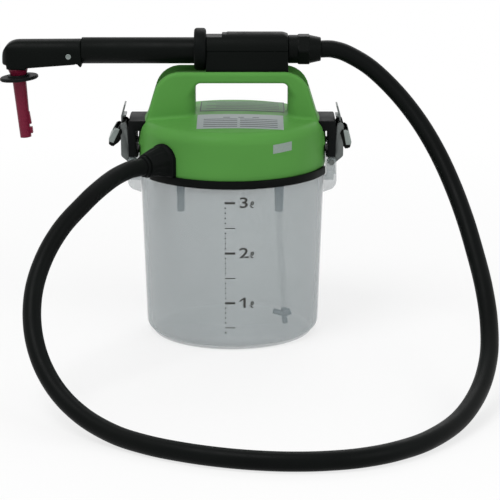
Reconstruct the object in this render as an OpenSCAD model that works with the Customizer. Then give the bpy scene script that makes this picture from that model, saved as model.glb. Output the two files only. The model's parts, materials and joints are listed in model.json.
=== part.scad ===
// Portable water filler for lead-acid batteries.
// A three litre translucent tank carries a lift-off pump head with a moulded handle. A dispensing
// gun lies in a trough along the top of the handle, and a thick hose joins the head to the gun.
// Origin: centre of the tank's foot, on the floor. +X right, +Y to the back, +Z up. Millimetres.

/* [Tank] */
// Height of the rim above the floor
tank_h = 158.5; // [140:0.5:190]
// Outer radius of the wall, carried down to the floor
tank_r = 81.2; // [78:0.1:84]
// Growth of the radius for each millimetre of height
tank_draft = 0.033; // [0.02:0.001:0.045]
// Thickness of the side wall
tank_wall = 2.2; // [1.6:0.1:3]
// Thickness of the floor
tank_floor = 2.6; // [2:0.1:4]
// Distance of the foot's edge inside the wall
foot_in = 5.7; // [4:0.1:12]
// Height of the foot
foot_h = 2.6; // [1:0.1:4]
// Radius of the rounded corner above the foot
corner_r = 8; // [5:0.5:10]

/* [Latch lugs] */
// Width of a lug, front to back
lug_w = 44; // [40:1:50]
// Thickness of each ear of a lug
ear_t = 5; // [4:0.5:6]
// Radius of the rounded top of an ear
ear_r = 4.6; // [4:0.1:5]
// Height of the lug's pin above the base plate
lug_pin_h = 3; // [2.5:0.1:6]
// Depth of the lug's block below the pin
lug_drop = 27; // [22:1:34]
// Radius of the lug's lower outer corner
lug_corner_r = 9; // [5:0.5:9]
// Radius of the steel lug pin
lug_pin_r = 1.5; // [1.2:0.1:2]

/* [Base plate and seal] */
// Thickness of the band round the rim
band_t = 3.37; // [2.6:0.01:5]
// Thickness of the plate
plate_t = 2.5; // [2:0.1:4]
// Depth of the band below the plate
skirt_h = 4.5; // [3:0.1:8]
// Thickness of the rubber seal
seal_t = 2; // [1.5:0.1:3]
// Gap between the band and the tank's rim
skirt_gap = 0.5; // [0.4:0.1:0.8]
// Depth of the ring that centres the head in the tank
lip_h = 6.5; // [4:0.5:10]
// Front end of the band's gap on the left side
band_gap_front = 49; // [44:1:56]

/* [Cover] */
// Distance of the green cover inside the band's edge
cover_in = 2.9; // [2:0.1:3.4]
// Wall thickness of the cover
cover_wall = 2.5; // [2:0.1:3.2]
// Height of the cover's upright side
cover_side_h = 32; // [30:0.5:40]
// Radius of the shoulder
shoulder_r = 11; // [8:0.5:13]
// Rise of the crowned deck above the shoulder
crown_h = 4; // [2:0.5:6]

/* [Handle] */
// Distance of the handle's foot inside the cover's side
handle_foot_in = 4.1; // [3.6:0.1:7]
// Lean of each leg inwards, from its foot to the upper corner
handle_lean = 10.8; // [8:0.1:14]
// Height of the rails above the base plate
handle_h = 87.8; // [84:0.1:96]
// Radius of the upper corners
handle_corner_r = 24; // [18:1:26]
// Depth of the handle, front to back
handle_w = 44; // [42:1:50]
// Width of the handle's left leg at the top
left_leg_w = 38.3; // [32:0.1:44]
// Width of the handle's right leg at the top
right_leg_w = 20.6; // [17:0.1:27]
// Height of the bar above the finger gap
bar_h = 10.4; // [9:0.1:12]
// Radius of the finger gap's corners
gap_corner_r = 5; // [2:0.5:8]
// Depth of the trough that holds the gun
trough_depth = 5.3; // [3:0.1:6]
// Space between the gun's grip and each wall of the trough
trough_gap = 1.7; // [0.5:0.1:2]

/* [Latches] */
// Distance of the lever pivot outside the lug pin
pivot_out = 8; // [7.5:0.1:9]
// Height of the lever pivot above the lug pin
pivot_up = 33; // [31:0.5:36]
// Distance from the lever pivot to the hook pin
hook_arm = 9; // [8:0.5:10]
// Length of a lever from its pivot
lever_len = 22.5; // [20:0.5:26]
// Outer width of a lever
lever_w = 25; // [23:0.5:25.5]
// Sheet thickness of the latch's steel parts
latch_sheet = 2; // [1.5:0.1:2.2]
// Angle of the right lever from upright, at rest
lever_rest_right = 15; // [13:0.1:30]
// Angle of the left lever from upright, at rest
lever_rest_left = 30; // [16:0.1:45]
// Angle of both levers from upright when they are shut, past centre
lever_shut = -6.6; // [-7:0.1:0]
// Radius of the latch's pins
latch_pin_r = 1.5; // [1.2:0.1:1.7]
// Thickness of the hook's blade
blade_t = 1.6; // [1:0.1:2]
// Width of the hook's blade
blade_w = 18; // [14:0.5:18]
// Overlap of the hook on the keeper when shut
hook_bite = 2.8; // [2:0.1:3]

/* [Keepers] */
// Width of a keeper, front to back
keeper_w = 46; // [42:0.5:48]
// Thickness of the keeper's leg, with its ribs
keeper_t = 6.7; // [6:0.1:7]
// Gap between the leg and the cover
keeper_gap = 2.2; // [1.8:0.1:2.5]
// Height of the keeper's flat top above the base plate
keeper_top_h = 42.3; // [41:0.1:44]
// Height of the leg's lower end above the lug pin
keeper_foot_h = 5.5; // [5.2:0.1:8]
// Depth of the channel that the lever shuts into
keeper_channel = 3.9; // [3:0.1:5]

/* [Hose boot] */
// Direction of the hose outlet, in degrees from +X
boot_angle = 225; // [222:0.5:228]
// Width of the boot's arch on the cover
boot_w = 30; // [26:0.5:34]
// Height of the arch above the base plate
boot_h = 31.5; // [28:0.5:34]
// Height of the hose axis above the base plate
outlet_h = 12; // [10:0.1:14]
// Distance of the hose outlet beyond the cover
outlet_out = 27; // [20:0.1:30]
// Outer radius of the ring round the hose
ring_r = 9.6; // [9:0.1:10.5]
// Length of that ring
ring_l = 3.5; // [2:0.1:6]
// Outer radius of the hose
hose_r = 8; // [7:0.1:8.5]

/* [Gun] */
// Radius of the grip
grip_r = 16.3; // [15.5:0.1:17]
// Depth of the grip below its axis
grip_drop = 23.5; // [20:0.1:26]
// Left end of the grip
grip_left_x = -24.1; // [-30:0.1:-18]
// Right end of the grip
grip_right_x = 52.1; // [48:0.1:60]
// Wall thickness of the grip's shells
grip_wall = 2.2; // [1.8:0.1:3]
// Height of the grip's lower step above its axis
step_h = 12.9; // [12.6:0.1:14]
// Right end of that step
step_x = -9.3; // [-14:0.1:0]
// Radius of the collar
collar_r = 19.7; // [18:0.1:21]
// Length of the collar
collar_l = 11.1; // [8:0.1:14]
// Outer radius of the long tube
tube_r = 12.2; // [11:0.1:12.5]
// Distance of the tube's axis below the axis of the grip
tube_drop = 1.2; // [1:0.1:1.6]
// Wall thickness of the long tube
tube_wall = 2; // [1.2:0.1:3]
// Left end of the long tube, where the head starts
tube_left_x = -139.7; // [-160:0.1:-120]
// Radius of the delivery tube inside
delivery_r = 4; // [3:0.1:5]
// Left end of the head
head_left_x = -214.4; // [-230:0.1:-205]
// Half width of the head
head_half_w = 12; // [11.5:0.1:13]
// Radius of the elbow's outer corner
elbow_r = 18; // [12:0.5:20]
// Radius of the hexagonal hose nut across its corners
nut_r = 15.2; // [13:0.1:15.6]
// Length of the nut's round part
nut_round_l = 8.8; // [6:0.1:12]
// Length of the nut's hexagon
nut_l = 10.9; // [8:0.1:14]
// Length of the nut's taper
nut_taper_l = 10.6; // [8:0.1:14]
// Radius at the end of that taper
nut_end_r = 10.9; // [9.5:0.1:12]

/* [Nozzle] */
// Lean of the nozzle from upright
nozzle_lean = 5; // [0:0.5:8]
// Distance of the nozzle's axis from the left end of the head
nozzle_in = 14.8; // [13:0.1:16]
// Length of the nozzle below the head
nozzle_l = 65.6; // [50:0.1:80]
// Radius of the nozzle under its disc
nozzle_r = 6.4; // [6:0.1:7]
// Radius of the nozzle's tip
tip_r = 5.2; // [4.8:0.1:6]
// Radius of the nozzle's bore
nozzle_bore_r = 3; // [2:0.1:3.6]
// Radius of the nozzle's collar at the head
nozzle_collar_r = 9.3; // [8.5:0.1:9.4]
// Radius of the stop disc
disc_r = 18; // [14:0.5:20]
// Thickness of the stop disc
disc_t = 3; // [2:0.1:3.5]
// Distance that the nozzle can be pressed in
press_travel = 4; // [2:0.5:4]

/* [Inside the tank] */
// Depth of the two fittings below the base plate
fitting_l = 46.5; // [30:0.5:60]
// Distance of the suction fitting's axis inside the wall
suction_in = 37; // [34:0.1:44]
// Distance of the return fitting's axis inside the wall
return_in = 32.4; // [28:0.1:42]
// Outer radius of the clear suction tube
suction_tube_r = 3.5; // [3:0.1:4]
// Clearance of the strainer above the tank's floor
strainer_clear = 0.6; // [0.3:0.1:5]

/* [Power] */
// Radius of a battery cell
cell_r = 13; // [12.5:0.1:13.2]
// Length of a battery cell
cell_l = 50; // [48:0.5:51]
// Radius of the pump's motor
motor_r = 13.8; // [11:0.1:14]
// Length of the pump's motor
motor_l = 37; // [30:0.5:38]

/* [Hidden] */

// Running clearance of a pin in its hole, and the gap left between neighbours of one body
run_gap = 0.05;
seat_gap = 0.1;
far = 400;

// Tank
foot_r = tank_r - foot_in;
suction_x = tank_r - suction_in;
return_x = return_in - tank_r;
rim_r = tank_r + tank_draft * tank_h;
function tank_in(z) = tank_r + tank_draft * z - tank_wall;
corner_z = foot_h + corner_r;
corner_x = tank_r + tank_draft * corner_z - corner_r;

// Head, from the rim upwards
seal_z = tank_h;
plate_z = seal_z + seal_t;
deck_z = plate_z + plate_t;
skirt_in = rim_r + skirt_gap;
plate_r = skirt_in + band_t;
cover_r = plate_r - cover_in;
shoulder_x = cover_r - shoulder_r;
shoulder_z = deck_z + cover_side_h;
shoulder_end = 84;
crown_x = shoulder_x + shoulder_r * cos(shoulder_end);
crown_z = shoulder_z + shoulder_r * sin(shoulder_end);
rail_z = deck_z + handle_h;
gap_top_z = rail_z - bar_h;
handle_foot_x = cover_r - handle_foot_in;
handle_top_x = handle_foot_x - handle_lean;
handle_corner_x = handle_top_x - handle_corner_r;
handle_corner_z = rail_z - handle_corner_r;
handle_foot_side = [handle_foot_x - handle_corner_x, shoulder_z - handle_corner_z];
handle_tilt = atan2(handle_foot_side[1], handle_foot_side[0])
    + acos(handle_corner_r / norm(handle_foot_side));
function handle_x(z) = handle_foot_x - (z - shoulder_z) * tan(handle_tilt);
gap_left_x = left_leg_w - handle_top_x;
gap_right_x = handle_top_x - right_leg_w;
trough_z = rail_z - trough_depth;
trough_half = grip_r + trough_gap;

// Lugs: the ears stand just outside the cover
lug_pin_x = cover_r + ear_r + 0.8;
lug_pin_z = deck_z + lug_pin_h;
block_top = plate_z - skirt_h - 2.5;
lug_out = lug_pin_x + ear_r;
lug_half = lug_w / 2;
band_gap_half = lug_half + 2.5;

// Latches. Side 1 is the right one and side -1 the left one
cheek_in = lever_w / 2 + 0.5;
cheek_out = cheek_in + latch_sheet;
pivot_x = lug_pin_x + pivot_out;
pivot_z = lug_pin_z + pivot_up;
lever_wall = 2;
lever_in = lever_w / 2 - lever_wall;
function rest_angle(side) = side > 0 ? lever_rest_right : lever_rest_left;
function hook_x(angle) = pivot_x + hook_arm * sin(angle);
function hook_z(angle) = pivot_z - hook_arm * cos(angle);
hook_shut_x = hook_x(lever_shut);
hook_shut_z = hook_z(lever_shut);

// Keepers
keeper_in = cover_r + keeper_gap;
keeper_out = keeper_in + keeper_t;
keeper_top_z = deck_z + keeper_top_h;
keeper_foot_z = lug_pin_z + keeper_foot_h;
channel_half = cheek_out + 1.4;
channel_x = keeper_out - keeper_channel;
keeper_screw_z = keeper_foot_z + 12;

// Gun
gun_z = trough_z + grip_drop;
tube_z = gun_z - tube_drop;
nut_x = grip_right_x + seat_gap;
hexagon_x = nut_x + nut_round_l;
nut_mid_x = hexagon_x + nut_l;
nut_end_x = nut_mid_x + nut_taper_l;
head_bottom_z = gun_z - 18;
nozzle_x = head_left_x + nozzle_in;
// The nozzle's flange rests on the lip of its pocket, and the spring stands on the flange
flange_z = 1;
flange_t = 2;
flange_r = nozzle_collar_r + 0.9;
pocket_r = flange_r + 0.3;
pocket_top = flange_z + flange_t + press_travel + 8.5;
switch_h = 5.7;

// Outlet of the hose
outlet_r = cover_r + outlet_out;
outlet_z = deck_z + outlet_h;

// Hose route as it lies for a head and a gun of the first size, with its ends on their axes. The
// hose lies on the floor in the middle. Its ends move with the outlet and the nut
hose_lay_z = hose_r + 0.25;
hose_points = [
    [-81, -81, 175], [-85.6, -85.6, 175], [-93, -93.7, 174.6], [-104.5, -108.3, 171.5],
    [-117, -127, 165.2], [-129, -146, 157], [-147, -171, 141], [-160.5, -194, 120.5], [-168, -217, 97],
    [-167.5, -240, 72.5], [-159, -264, 50], [-143, -288, 31], [-121, -311, 17.5], [-94, -334, 10],
    [-66, -354.5, hose_lay_z], [-37, -371, hose_lay_z], [-8, -382.5, hose_lay_z],
    [20, -389.5, hose_lay_z], [48, -392.5, hose_lay_z], [76, -391, hose_lay_z],
    [105, -384, hose_lay_z], [134, -368.5, hose_lay_z], [162.5, -342, hose_lay_z + 0.2],
    [189.5, -303, 11.5], [210, -259, 21.5], [222, -218, 38], [225.5, -182, 59],
    [223.5, -151, 82.5], [218, -122, 106.5], [210.5, -98, 132], [200.5, -75, 158],
    [188, -54, 183.5], [172, -36, 208.5], [152, -20, 232], [129, -8, 252.5], [108, -2, 264.5],
    [94, -0.2, 268.8], [82.8, 0, 269]
];
hose_last = len(hose_points) - 1;
hose_start = [
    (outlet_r + 0.2) * cos(boot_angle), (outlet_r + 0.2) * sin(boot_angle), outlet_z
];
hose_end = [nut_end_x + 0.3, 0, gun_z];
hose_free = 13;
hose_route = [
    for (i = [0:hose_last])
        hose_points[i]
            + max(0, 1 - i / hose_free) * (hose_start - hose_points[0])
            + max(0, 1 - (hose_last - i) / hose_free) * (hose_end - hose_points[hose_last])
];

// Catmull-Rom point on the stretch from p1 to p2 at the share t of its length
function spline(p0, p1, p2, p3, t) =
    0.5 * (2 * p1 + (p2 - p0) * t + (2 * p0 - 5 * p1 + 4 * p2 - p3) * t * t
        + (3 * p1 - p0 - 3 * p2 + p3) * t * t * t);
function smooth_route(p, steps) = [
    for (i = [0:len(p) - 2], k = [0:steps - 1])
        spline(p[max(i - 1, 0)], p[i], p[i + 1], p[min(i + 2, len(p) - 1)], k / steps),
    p[len(p) - 1]
];
function unit(v) = v / norm(v);

// A tube along the points p. The route stays near a plane with the normal n, which keeps the
// rings from twisting, and n may be given for each point
module tube(p, r, sides, n) {
    last = len(p) - 1;
    rings = [
        for (i = [0:last])
            let (
                along = unit(p[min(i + 1, last)] - p[max(i - 1, 0)]),
                side = unit(cross(along, is_list(n[0]) ? n[i] : n)),
                up = cross(side, along)
            )
            for (k = [0:sides - 1])
                p[i] + r * (cos(360 * k / sides) * side + sin(360 * k / sides) * up)
    ];
    walls = [
        for (i = [0:last - 1], k = [0:sides - 1])
            let (a = i * sides + k, b = i * sides + (k + 1) % sides)
            each [[a, b, b + sides], [a, b + sides, a + sides]]
    ];
    ends = [
        for (k = [1:sides - 2]) each [
            [0, k + 1, k],
            [last * sides, last * sides + k, last * sides + k + 1]
        ]
    ];
    polyhedron(points = rings, faces = concat(walls, ends));
}

// A round bar from the point a to the point b
module bar(a, b, r, fn = 32) {
    v = b - a;
    translate(a)
        rotate([0, acos(v[2] / norm(v)), atan2(v[1], v[0])])
            cylinder(r = r, h = norm(v), $fn = fn);
}

// A bar along Y, centred on the middle plane
module cross_bar(x, z, r, half) {
    translate([x, half, z])
        rotate([90, 0, 0])
            cylinder(r = r, h = 2 * half, $fn = 32);
}

// A bar along X
module long_bar(x0, x1, z, r, y = 0, fn = 64) {
    translate([x0, y, z])
        rotate([0, 90, 0])
            cylinder(r = r, h = x1 - x0, $fn = fn);
}

// A side profile in X and Z, given its depth along Y from y0 to y1
module slab(y0, y1) {
    translate([0, y1, 0])
        rotate([90, 0, 0])
            linear_extrude(height = y1 - y0)
                children();
}

// The right half of the latch gear, or its mirror image on the left
module on_side(side) {
    if (side > 0) children();
    else mirror([1, 0, 0]) children();
}

// ---------------------------------------------------------------- tank

function arc(x, z, r, a0, a1, n) = [
    for (i = [0:n])
        let (a = a0 + (a1 - a0) * i / n)
        [x + r * cos(a), z + r * sin(a)]
];

module tank_outside() {
    rotate_extrude($fn = 96)
        polygon(concat(
            [[0, 0], [foot_r, 0], [foot_r, foot_h]],
            arc(corner_x, corner_z, corner_r, -60, 0, 5),
            [[rim_r, tank_h], [0, tank_h]]
        ));
}

module tank_inside() {
    inner_r = corner_r - 1;
    z0 = tank_floor + inner_r;
    rotate_extrude($fn = 96)
        polygon(concat(
            [[0, tank_floor]],
            arc(tank_in(z0) - inner_r, z0, inner_r, -90, 0, 6),
            [[tank_in(tank_h + 5), tank_h + 5], [0, tank_h + 5]]
        ));
}

module lug_outline() {
    low_z = lug_pin_z - lug_drop;
    inner_x = tank_in(low_z) - 4;
    polygon(concat(
        [[inner_x, low_z - 3]],
        arc(lug_out - lug_corner_r, low_z + lug_corner_r, lug_corner_r, -62, 0, 4),
        [[lug_out, block_top], [inner_x, block_top]]
    ));
}

module ear_outline() {
    low_z = lug_pin_z - lug_drop + lug_corner_r;
    translate([lug_pin_x - ear_r, low_z]) square([2 * ear_r, lug_pin_z - low_z]);
    translate([lug_pin_x, lug_pin_z]) circle(r = ear_r, $fn = 32);
}

// A lug is a hollow block on the tank's wall with an ear at each end
module lug() {
    wall = 2.4;
    difference() {
        union() {
            slab(-lug_half, lug_half) lug_outline();
            for (y = [-lug_half, lug_half - ear_t]) slab(y, y + ear_t) ear_outline();
        }
        translate([tank_r, ear_t - lug_half, lug_pin_z - lug_drop + lug_corner_r])
            cube([lug_out - wall - tank_r, lug_w - 2 * ear_t, far]);
        cross_bar(lug_pin_x, lug_pin_z, lug_pin_r + run_gap, lug_half + 1);
    }
}

module tank() {
    color("#c8cdcc")
        difference() {
            union() {
                tank_outside();
                for (side = [-1, 1]) on_side(side) lug();
            }
            tank_inside();
        }
}

// ---------------------------------------------------------------- latches

module lug_pins() {
    color("#9aa0a2")
        for (side = [-1, 1]) on_side(side) {
            cross_bar(lug_pin_x, lug_pin_z, lug_pin_r, lug_half + 0.6);
            for (y = [-1, 1])
                translate([lug_pin_x, y * (lug_half + 0.85), lug_pin_z])
                    rotate([90, 0, 0])
                        cylinder(r = lug_pin_r + 1, h = 1.5, center = true, $fn = 24);
        }
}

// A flat strap from the point a to the point b, round at both ends
module strap(a, b, ra, rb) {
    along = unit(b - a);
    side = [-along[1], along[0]];
    translate(a) circle(r = ra, $fn = 32);
    translate(b) circle(r = rb, $fn = 32);
    polygon([a + ra * side, a - ra * side, b - rb * side, b + rb * side]);
}

// One cheek of the steel base: from the lug pin it turns outwards, then up to the lever pivot
cheek_r = 3.8;
cheek_top_r = 3.2;
cheek_bend = [pivot_x - 0.8, lug_pin_z + 6.2];

module cheek_outline() {
    strap([lug_pin_x, lug_pin_z], cheek_bend, cheek_r, cheek_r);
    strap(cheek_bend, [pivot_x, pivot_z], cheek_r, cheek_top_r);
}

module latch_base(side) {
    bridge_w = 4;
    color("#a7aeb0")
        on_side(side)
            difference() {
                union() {
                    for (y = [-cheek_out, cheek_in]) slab(y, y + latch_sheet) cheek_outline();
                    translate([cheek_bend[0] - bridge_w / 2, -cheek_out, cheek_bend[1] - 3])
                        cube([bridge_w, 2 * cheek_out, 1.6]);
                }
                cross_bar(lug_pin_x, lug_pin_z, lug_pin_r + run_gap, lug_half);
                cross_bar(pivot_x, pivot_z, latch_pin_r + run_gap, lug_half);
            }
}

// Two headed rivets on each side carry the lever
module lever_rivets() {
    color("#8d9496")
        for (side = [-1, 1], y = [-1, 1]) on_side(side)
            translate([pivot_x, 0, pivot_z])
                rotate([90 * y, 0, 0]) {
                    translate([0, 0, lever_in - 0.4])
                        cylinder(r = latch_pin_r, h = cheek_out + 0.6 - lever_in, $fn = 24);
                    translate([0, 0, cheek_out + 0.05])
                        cylinder(r = latch_pin_r + 1.2, h = 0.9, $fn = 24);
                }
}

// Places the lever's own frame, with the pivot at 0, the free end along -Z and its face along +X
module lever_frame(side) {
    on_side(side)
        translate([pivot_x, 0, pivot_z])
            rotate([0, -rest_angle(side), 0])
                children();
}

lever_face_x = 3.4;
lever_web_t = 2;
lever_web_top = -hook_arm - 3.4;

module lever_wall_outline() {
    polygon(concat(
        arc(0, 0, 3.8, 35, 180, 6),
        [
            [-4.3, -9], [-3.4, -lever_len + 6], [-0.8, -lever_len], [1.6, -lever_len],
            [lever_face_x, -lever_len + 3], [lever_face_x, -5]
        ]
    ));
}

// The lever is a channel that is open towards the tank
module latch_lever(side) {
    half = lever_w / 2;
    web_x = lever_face_x - lever_web_t;
    web_low = 3 - lever_len;
    color("#23282a")
        lever_frame(side)
            difference() {
                union() {
                    for (y = [-half, lever_in]) slab(y, y + lever_wall) lever_wall_outline();
                    translate([web_x, -half, web_low])
                        cube([lever_web_t, lever_w, lever_web_top - web_low]);
                    slab(-half, half)
                        polygon([
                            [-0.8, -lever_len], [1.6, -lever_len], [lever_face_x, web_low],
                            [lever_face_x, web_low + 1], [web_x, web_low + 1], [-0.8, -lever_len + 2]
                        ]);
                }
                cross_bar(0, 0, latch_pin_r + run_gap, half + 1);
                cross_bar(0, -hook_arm, latch_pin_r + run_gap, half + 1);
            }
}

// Bright pad on the outer face of the lever
module lever_pad(side) {
    half = lever_w / 2 - 0.5;
    low = 3.4 - lever_len;
    pad_t = 2;
    color("#b4bbbd")
        lever_frame(side)
            slab(-half, half)
                polygon([
                    [lever_face_x, low], [lever_face_x + pad_t, low],
                    [lever_face_x + pad_t, low + 3], [lever_face_x, lever_web_top]
                ]);
}

module hook_pin(side) {
    color("#8d9496")
        lever_frame(side) {
            cross_bar(0, -hook_arm, latch_pin_r, lever_w / 2 + 0.2);
        }
}

// The hook stays upright. Its catch stands over the keeper only when the lever is shut
module hook_outline() {
    catch_z = keeper_top_z + 0.35;
    tip_x = keeper_out - hook_bite;
    in_x = keeper_out + 0.3;
    polygon([
        [in_x, hook_shut_z + 4],
        [in_x, catch_z],
        [tip_x, catch_z],
        [tip_x, catch_z + blade_t],
        [in_x - 0.4, catch_z + blade_t],
        [tip_x + 0.2, catch_z + 11.2],
        [tip_x + 1.7, catch_z + 11.4],
        [in_x + blade_t, catch_z + 0.6],
        [in_x + blade_t, hook_shut_z + 4]
    ]);
}

module hook_arm_outline() {
    in_x = keeper_out + 0.3;
    translate([hook_shut_x, hook_shut_z]) circle(r = 2.9, $fn = 32);
    polygon([
        [in_x, hook_shut_z - 0.5],
        [hook_shut_x + 1, hook_shut_z - 2],
        [hook_shut_x + 2.9, hook_shut_z],
        [in_x + blade_t, hook_shut_z + 8],
        [in_x, hook_shut_z + 8]
    ]);
}

module latch_hook(side) {
    rest = rest_angle(side);
    arm_w = 2.5;
    half = blade_w / 2;
    color("#a7aeb0")
        on_side(side)
            translate([hook_x(rest) - hook_shut_x, 0, hook_z(rest) - hook_shut_z])
                difference() {
                    union() {
                        slab(-half, half) hook_outline();
                        for (y = [-half, half - arm_w]) slab(y, y + arm_w) hook_arm_outline();
                    }
                    cross_bar(hook_shut_x, hook_shut_z, latch_pin_r + run_gap, half + 1);
                }
}

// ---------------------------------------------------------------- head: plate, seal and cover

// A ring cut out at both sides, so that the head can be lifted past the lugs
module band_gaps() {
    for (side = [-1, 1])
        intersection() {
            difference() {
                translate([0, 0, -1]) cylinder(r = plate_r + 10, h = far, $fn = 96);
                translate([0, 0, -2]) cylinder(r = skirt_in, h = far + 2, $fn = 96);
            }
            if (side > 0)
                translate([20, -band_gap_half, 0]) cube([far, 2 * band_gap_half, far]);
            else
                translate([-20 - far, -band_gap_front, 0])
                    cube([far, band_gap_front + band_gap_half, far]);
        }
}

cover_screw_r = cover_r - 11.4;
cover_screw_l = 11;
post_h = 16;
post_r = 3.8;
cover_screw_angles = [45, 135, 250, 315];

module base_plate() {
    lip_r = tank_in(tank_h - lip_h) - 0.6;
    color("#1e2222")
        difference() {
            union() {
                translate([0, 0, plate_z]) cylinder(r = plate_r, h = plate_t, $fn = 96);
                translate([0, 0, plate_z - skirt_h])
                    difference() {
                        cylinder(r = plate_r, h = skirt_h, $fn = 96);
                        translate([0, 0, -1]) cylinder(r = skirt_in, h = skirt_h + 1, $fn = 96);
                    }
                translate([0, 0, plate_z - seal_t - lip_h + 2])
                    difference() {
                        cylinder(r = lip_r, h = seal_t + lip_h - 2, $fn = 96);
                        translate([0, 0, -1]) cylinder(r = lip_r - 2, h = lip_h + 2, $fn = 96);
                    }
            }
            band_gaps();
            for (a = cover_screw_angles) rotate(a)
                translate([cover_screw_r, 0, plate_z - 1]) cylinder(r = 1.75, h = far, $fn = 24);
            for (x = [suction_x, return_x])
                translate([x, 0, plate_z - 1]) cylinder(r = neck_r + seat_gap, h = far, $fn = 32);
        }
}

module tank_seal() {
    color("#33393a")
        translate([0, 0, seal_z])
            difference() {
                cylinder(r = rim_r + 0.1, h = seal_t, $fn = 96);
                translate([0, 0, -1]) cylinder(r = tank_in(tank_h) - 0.3, h = seal_t + 2, $fn = 96);
            }
}

// The cover's side, shoulder and crowned deck, drawn inwards by inset
function cover_points(inset) = concat(
    [[0, deck_z - 1], [cover_r - inset, deck_z - 1], [cover_r - inset, shoulder_z]],
    arc(shoulder_x, shoulder_z, shoulder_r - inset, 12, shoulder_end, 6),
    [for (t = [0.25:0.25:1])
        [crown_x * (1 - t), crown_z - inset + crown_h * (1 - pow(1 - t, 2))]]
);

module cover_body(inset) {
    intersection() {
        rotate_extrude($fn = 96) polygon(cover_points(inset));
        translate([0, 0, deck_z + far / 2]) cube([far, far, far], center = true);
    }
}

module handle_outline() {
    right = concat(
        [[handle_foot_x, shoulder_z]],
        arc(handle_corner_x, handle_corner_z, handle_corner_r, handle_tilt, 90, 10)
    );
    polygon(concat(right, [for (i = [len(right) - 1:-1:0]) [-right[i][0], right[i][1]]]));
}

module finger_gap_outline() {
    r = gap_corner_r;
    low = shoulder_z - 20;
    polygon(concat(
        [[gap_right_x, low]],
        arc(gap_right_x - r, gap_top_z - r, r, 0, 90, 5),
        arc(gap_left_x + r, gap_top_z - r, r, 90, 180, 5),
        [[gap_left_x, low]]
    ));
}

module handle() {
    half = handle_w / 2;
    difference() {
        slab(-half, half) handle_outline();
        slab(-half - 1, half + 1) finger_gap_outline();
        translate([-far, -trough_half, trough_z]) cube([2 * far, 2 * trough_half, far]);
    }
}

// Screw posts inside the cover, each on a rib to the wall
module screw_posts() {
    for (a = cover_screw_angles) rotate(a) {
        translate([cover_screw_r, 0, deck_z])
            difference() {
                union() {
                    cylinder(r = post_r, h = post_h, $fn = 32);
                    translate([0, -1, 0]) cube([cover_r - cover_wall / 2 - cover_screw_r, 2, post_h]);
                }
                translate([0, 0, -1]) cylinder(r = 1.5 + run_gap, h = post_h - 1, $fn = 24);
            }
    }
}

module head_cover() {
    color("#60af40") {
        difference() {
            union() {
                cover_body(0);
                handle();
            }
            cover_body_cavity();
            for (side = [-1, 1], y = [-6, 6]) on_side(side)
                long_bar(cover_r - 6, cover_r + 2, keeper_screw_z, 1.5 + run_gap, y, 24);
            rotate(boot_angle) long_bar(cover_r - 8, cover_r + 2, outlet_z, 6, 0, 32);
        }
        screw_posts();
    }
}

module cover_body_cavity() {
    intersection() {
        rotate_extrude($fn = 96) polygon(cover_points(cover_wall));
        translate([0, 0, deck_z - 1 + far / 2]) cube([far, far, far], center = true);
    }
}

module cover_screws() {
    head_t = 1.8;
    color("#8d9496")
        for (a = cover_screw_angles) rotate(a)
            translate([cover_screw_r, 0, plate_z - head_t]) {
                cylinder(r = 3.2, h = head_t, $fn = 24);
                cylinder(r = 1.5, h = head_t + plate_t + cover_screw_l, $fn = 24);
            }
}

// ---------------------------------------------------------------- keepers

module keeper_outline() {
    polygon([
        [handle_x(keeper_top_z) + seat_gap, keeper_top_z],
        [keeper_out - 1.2, keeper_top_z],
        [keeper_out, keeper_top_z - 1.2],
        [keeper_out, keeper_foot_z],
        [cover_r + seat_gap, keeper_foot_z],
        [cover_r + seat_gap, keeper_foot_z + 3],
        [keeper_in, keeper_foot_z + 3],
        [keeper_in, shoulder_z + 1],
        [handle_x(shoulder_z + 1) + seat_gap, shoulder_z + 1]
    ]);
}

module latch_keeper(side) {
    half = keeper_w / 2;
    color("#2a2d31")
        on_side(side)
            difference() {
                slab(-half, half) keeper_outline();
                cover_body(-seat_gap);
                translate([channel_x, -channel_half, keeper_foot_z - 1])
                    cube([far, 2 * channel_half, keeper_top_z - 7 - keeper_foot_z]);
                for (y = [-6, 6])
                    long_bar(keeper_in - 2, channel_x + 1, keeper_screw_z, 1.5 + run_gap, y, 24);
            }
}

module keeper_screws() {
    color("#8d9496")
        for (side = [-1, 1], y = [-6, 6]) on_side(side) {
            long_bar(cover_r - cover_wall - 1, channel_x + 0.5, keeper_screw_z, 1.5, y, 24);
            long_bar(channel_x, channel_x + 1.6, keeper_screw_z, 2.8, y, 24);
        }
}

// ---------------------------------------------------------------- hose boot

module hose_boot() {
    face_x = cover_r + 4;
    ring_x = outlet_r - ring_l;
    color("#1b1e1e")
        difference() {
            rotate(boot_angle) {
                translate([cover_r - 9, 0, 0]) rotate([90, 0, 90])
                    linear_extrude(height = face_x - cover_r + 9) boot_face(0);
                hull() {
                    translate([face_x - 0.1, 0, 0]) rotate([90, 0, 90])
                        linear_extrude(height = 0.1) boot_face(-1.2);
                    long_bar(ring_x - 4, ring_x, outlet_z, ring_r + 0.9, 0, 32);
                }
            }
            cover_body(-seat_gap);
            rotate(boot_angle) long_bar(cover_r - 12, outlet_r, outlet_z, 5, 0, 32);
        }
}

module boot_face(grow) {
    r = boot_w / 2 + grow;
    arch_z = deck_z + boot_h - boot_w / 2;
    translate([-r, deck_z]) square([2 * r, arch_z - deck_z]);
    translate([0, arch_z]) circle(r = r, $fn = 32);
}

module hose_ring() {
    color("#111313")
        rotate(boot_angle)
            difference() {
                long_bar(outlet_r - ring_l, outlet_r, outlet_z, ring_r, 0, 48);
                long_bar(outlet_r - ring_l - 1, outlet_r + 1, outlet_z, 5, 0, 32);
            }
}

// ---------------------------------------------------------------- inside the head

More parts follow.
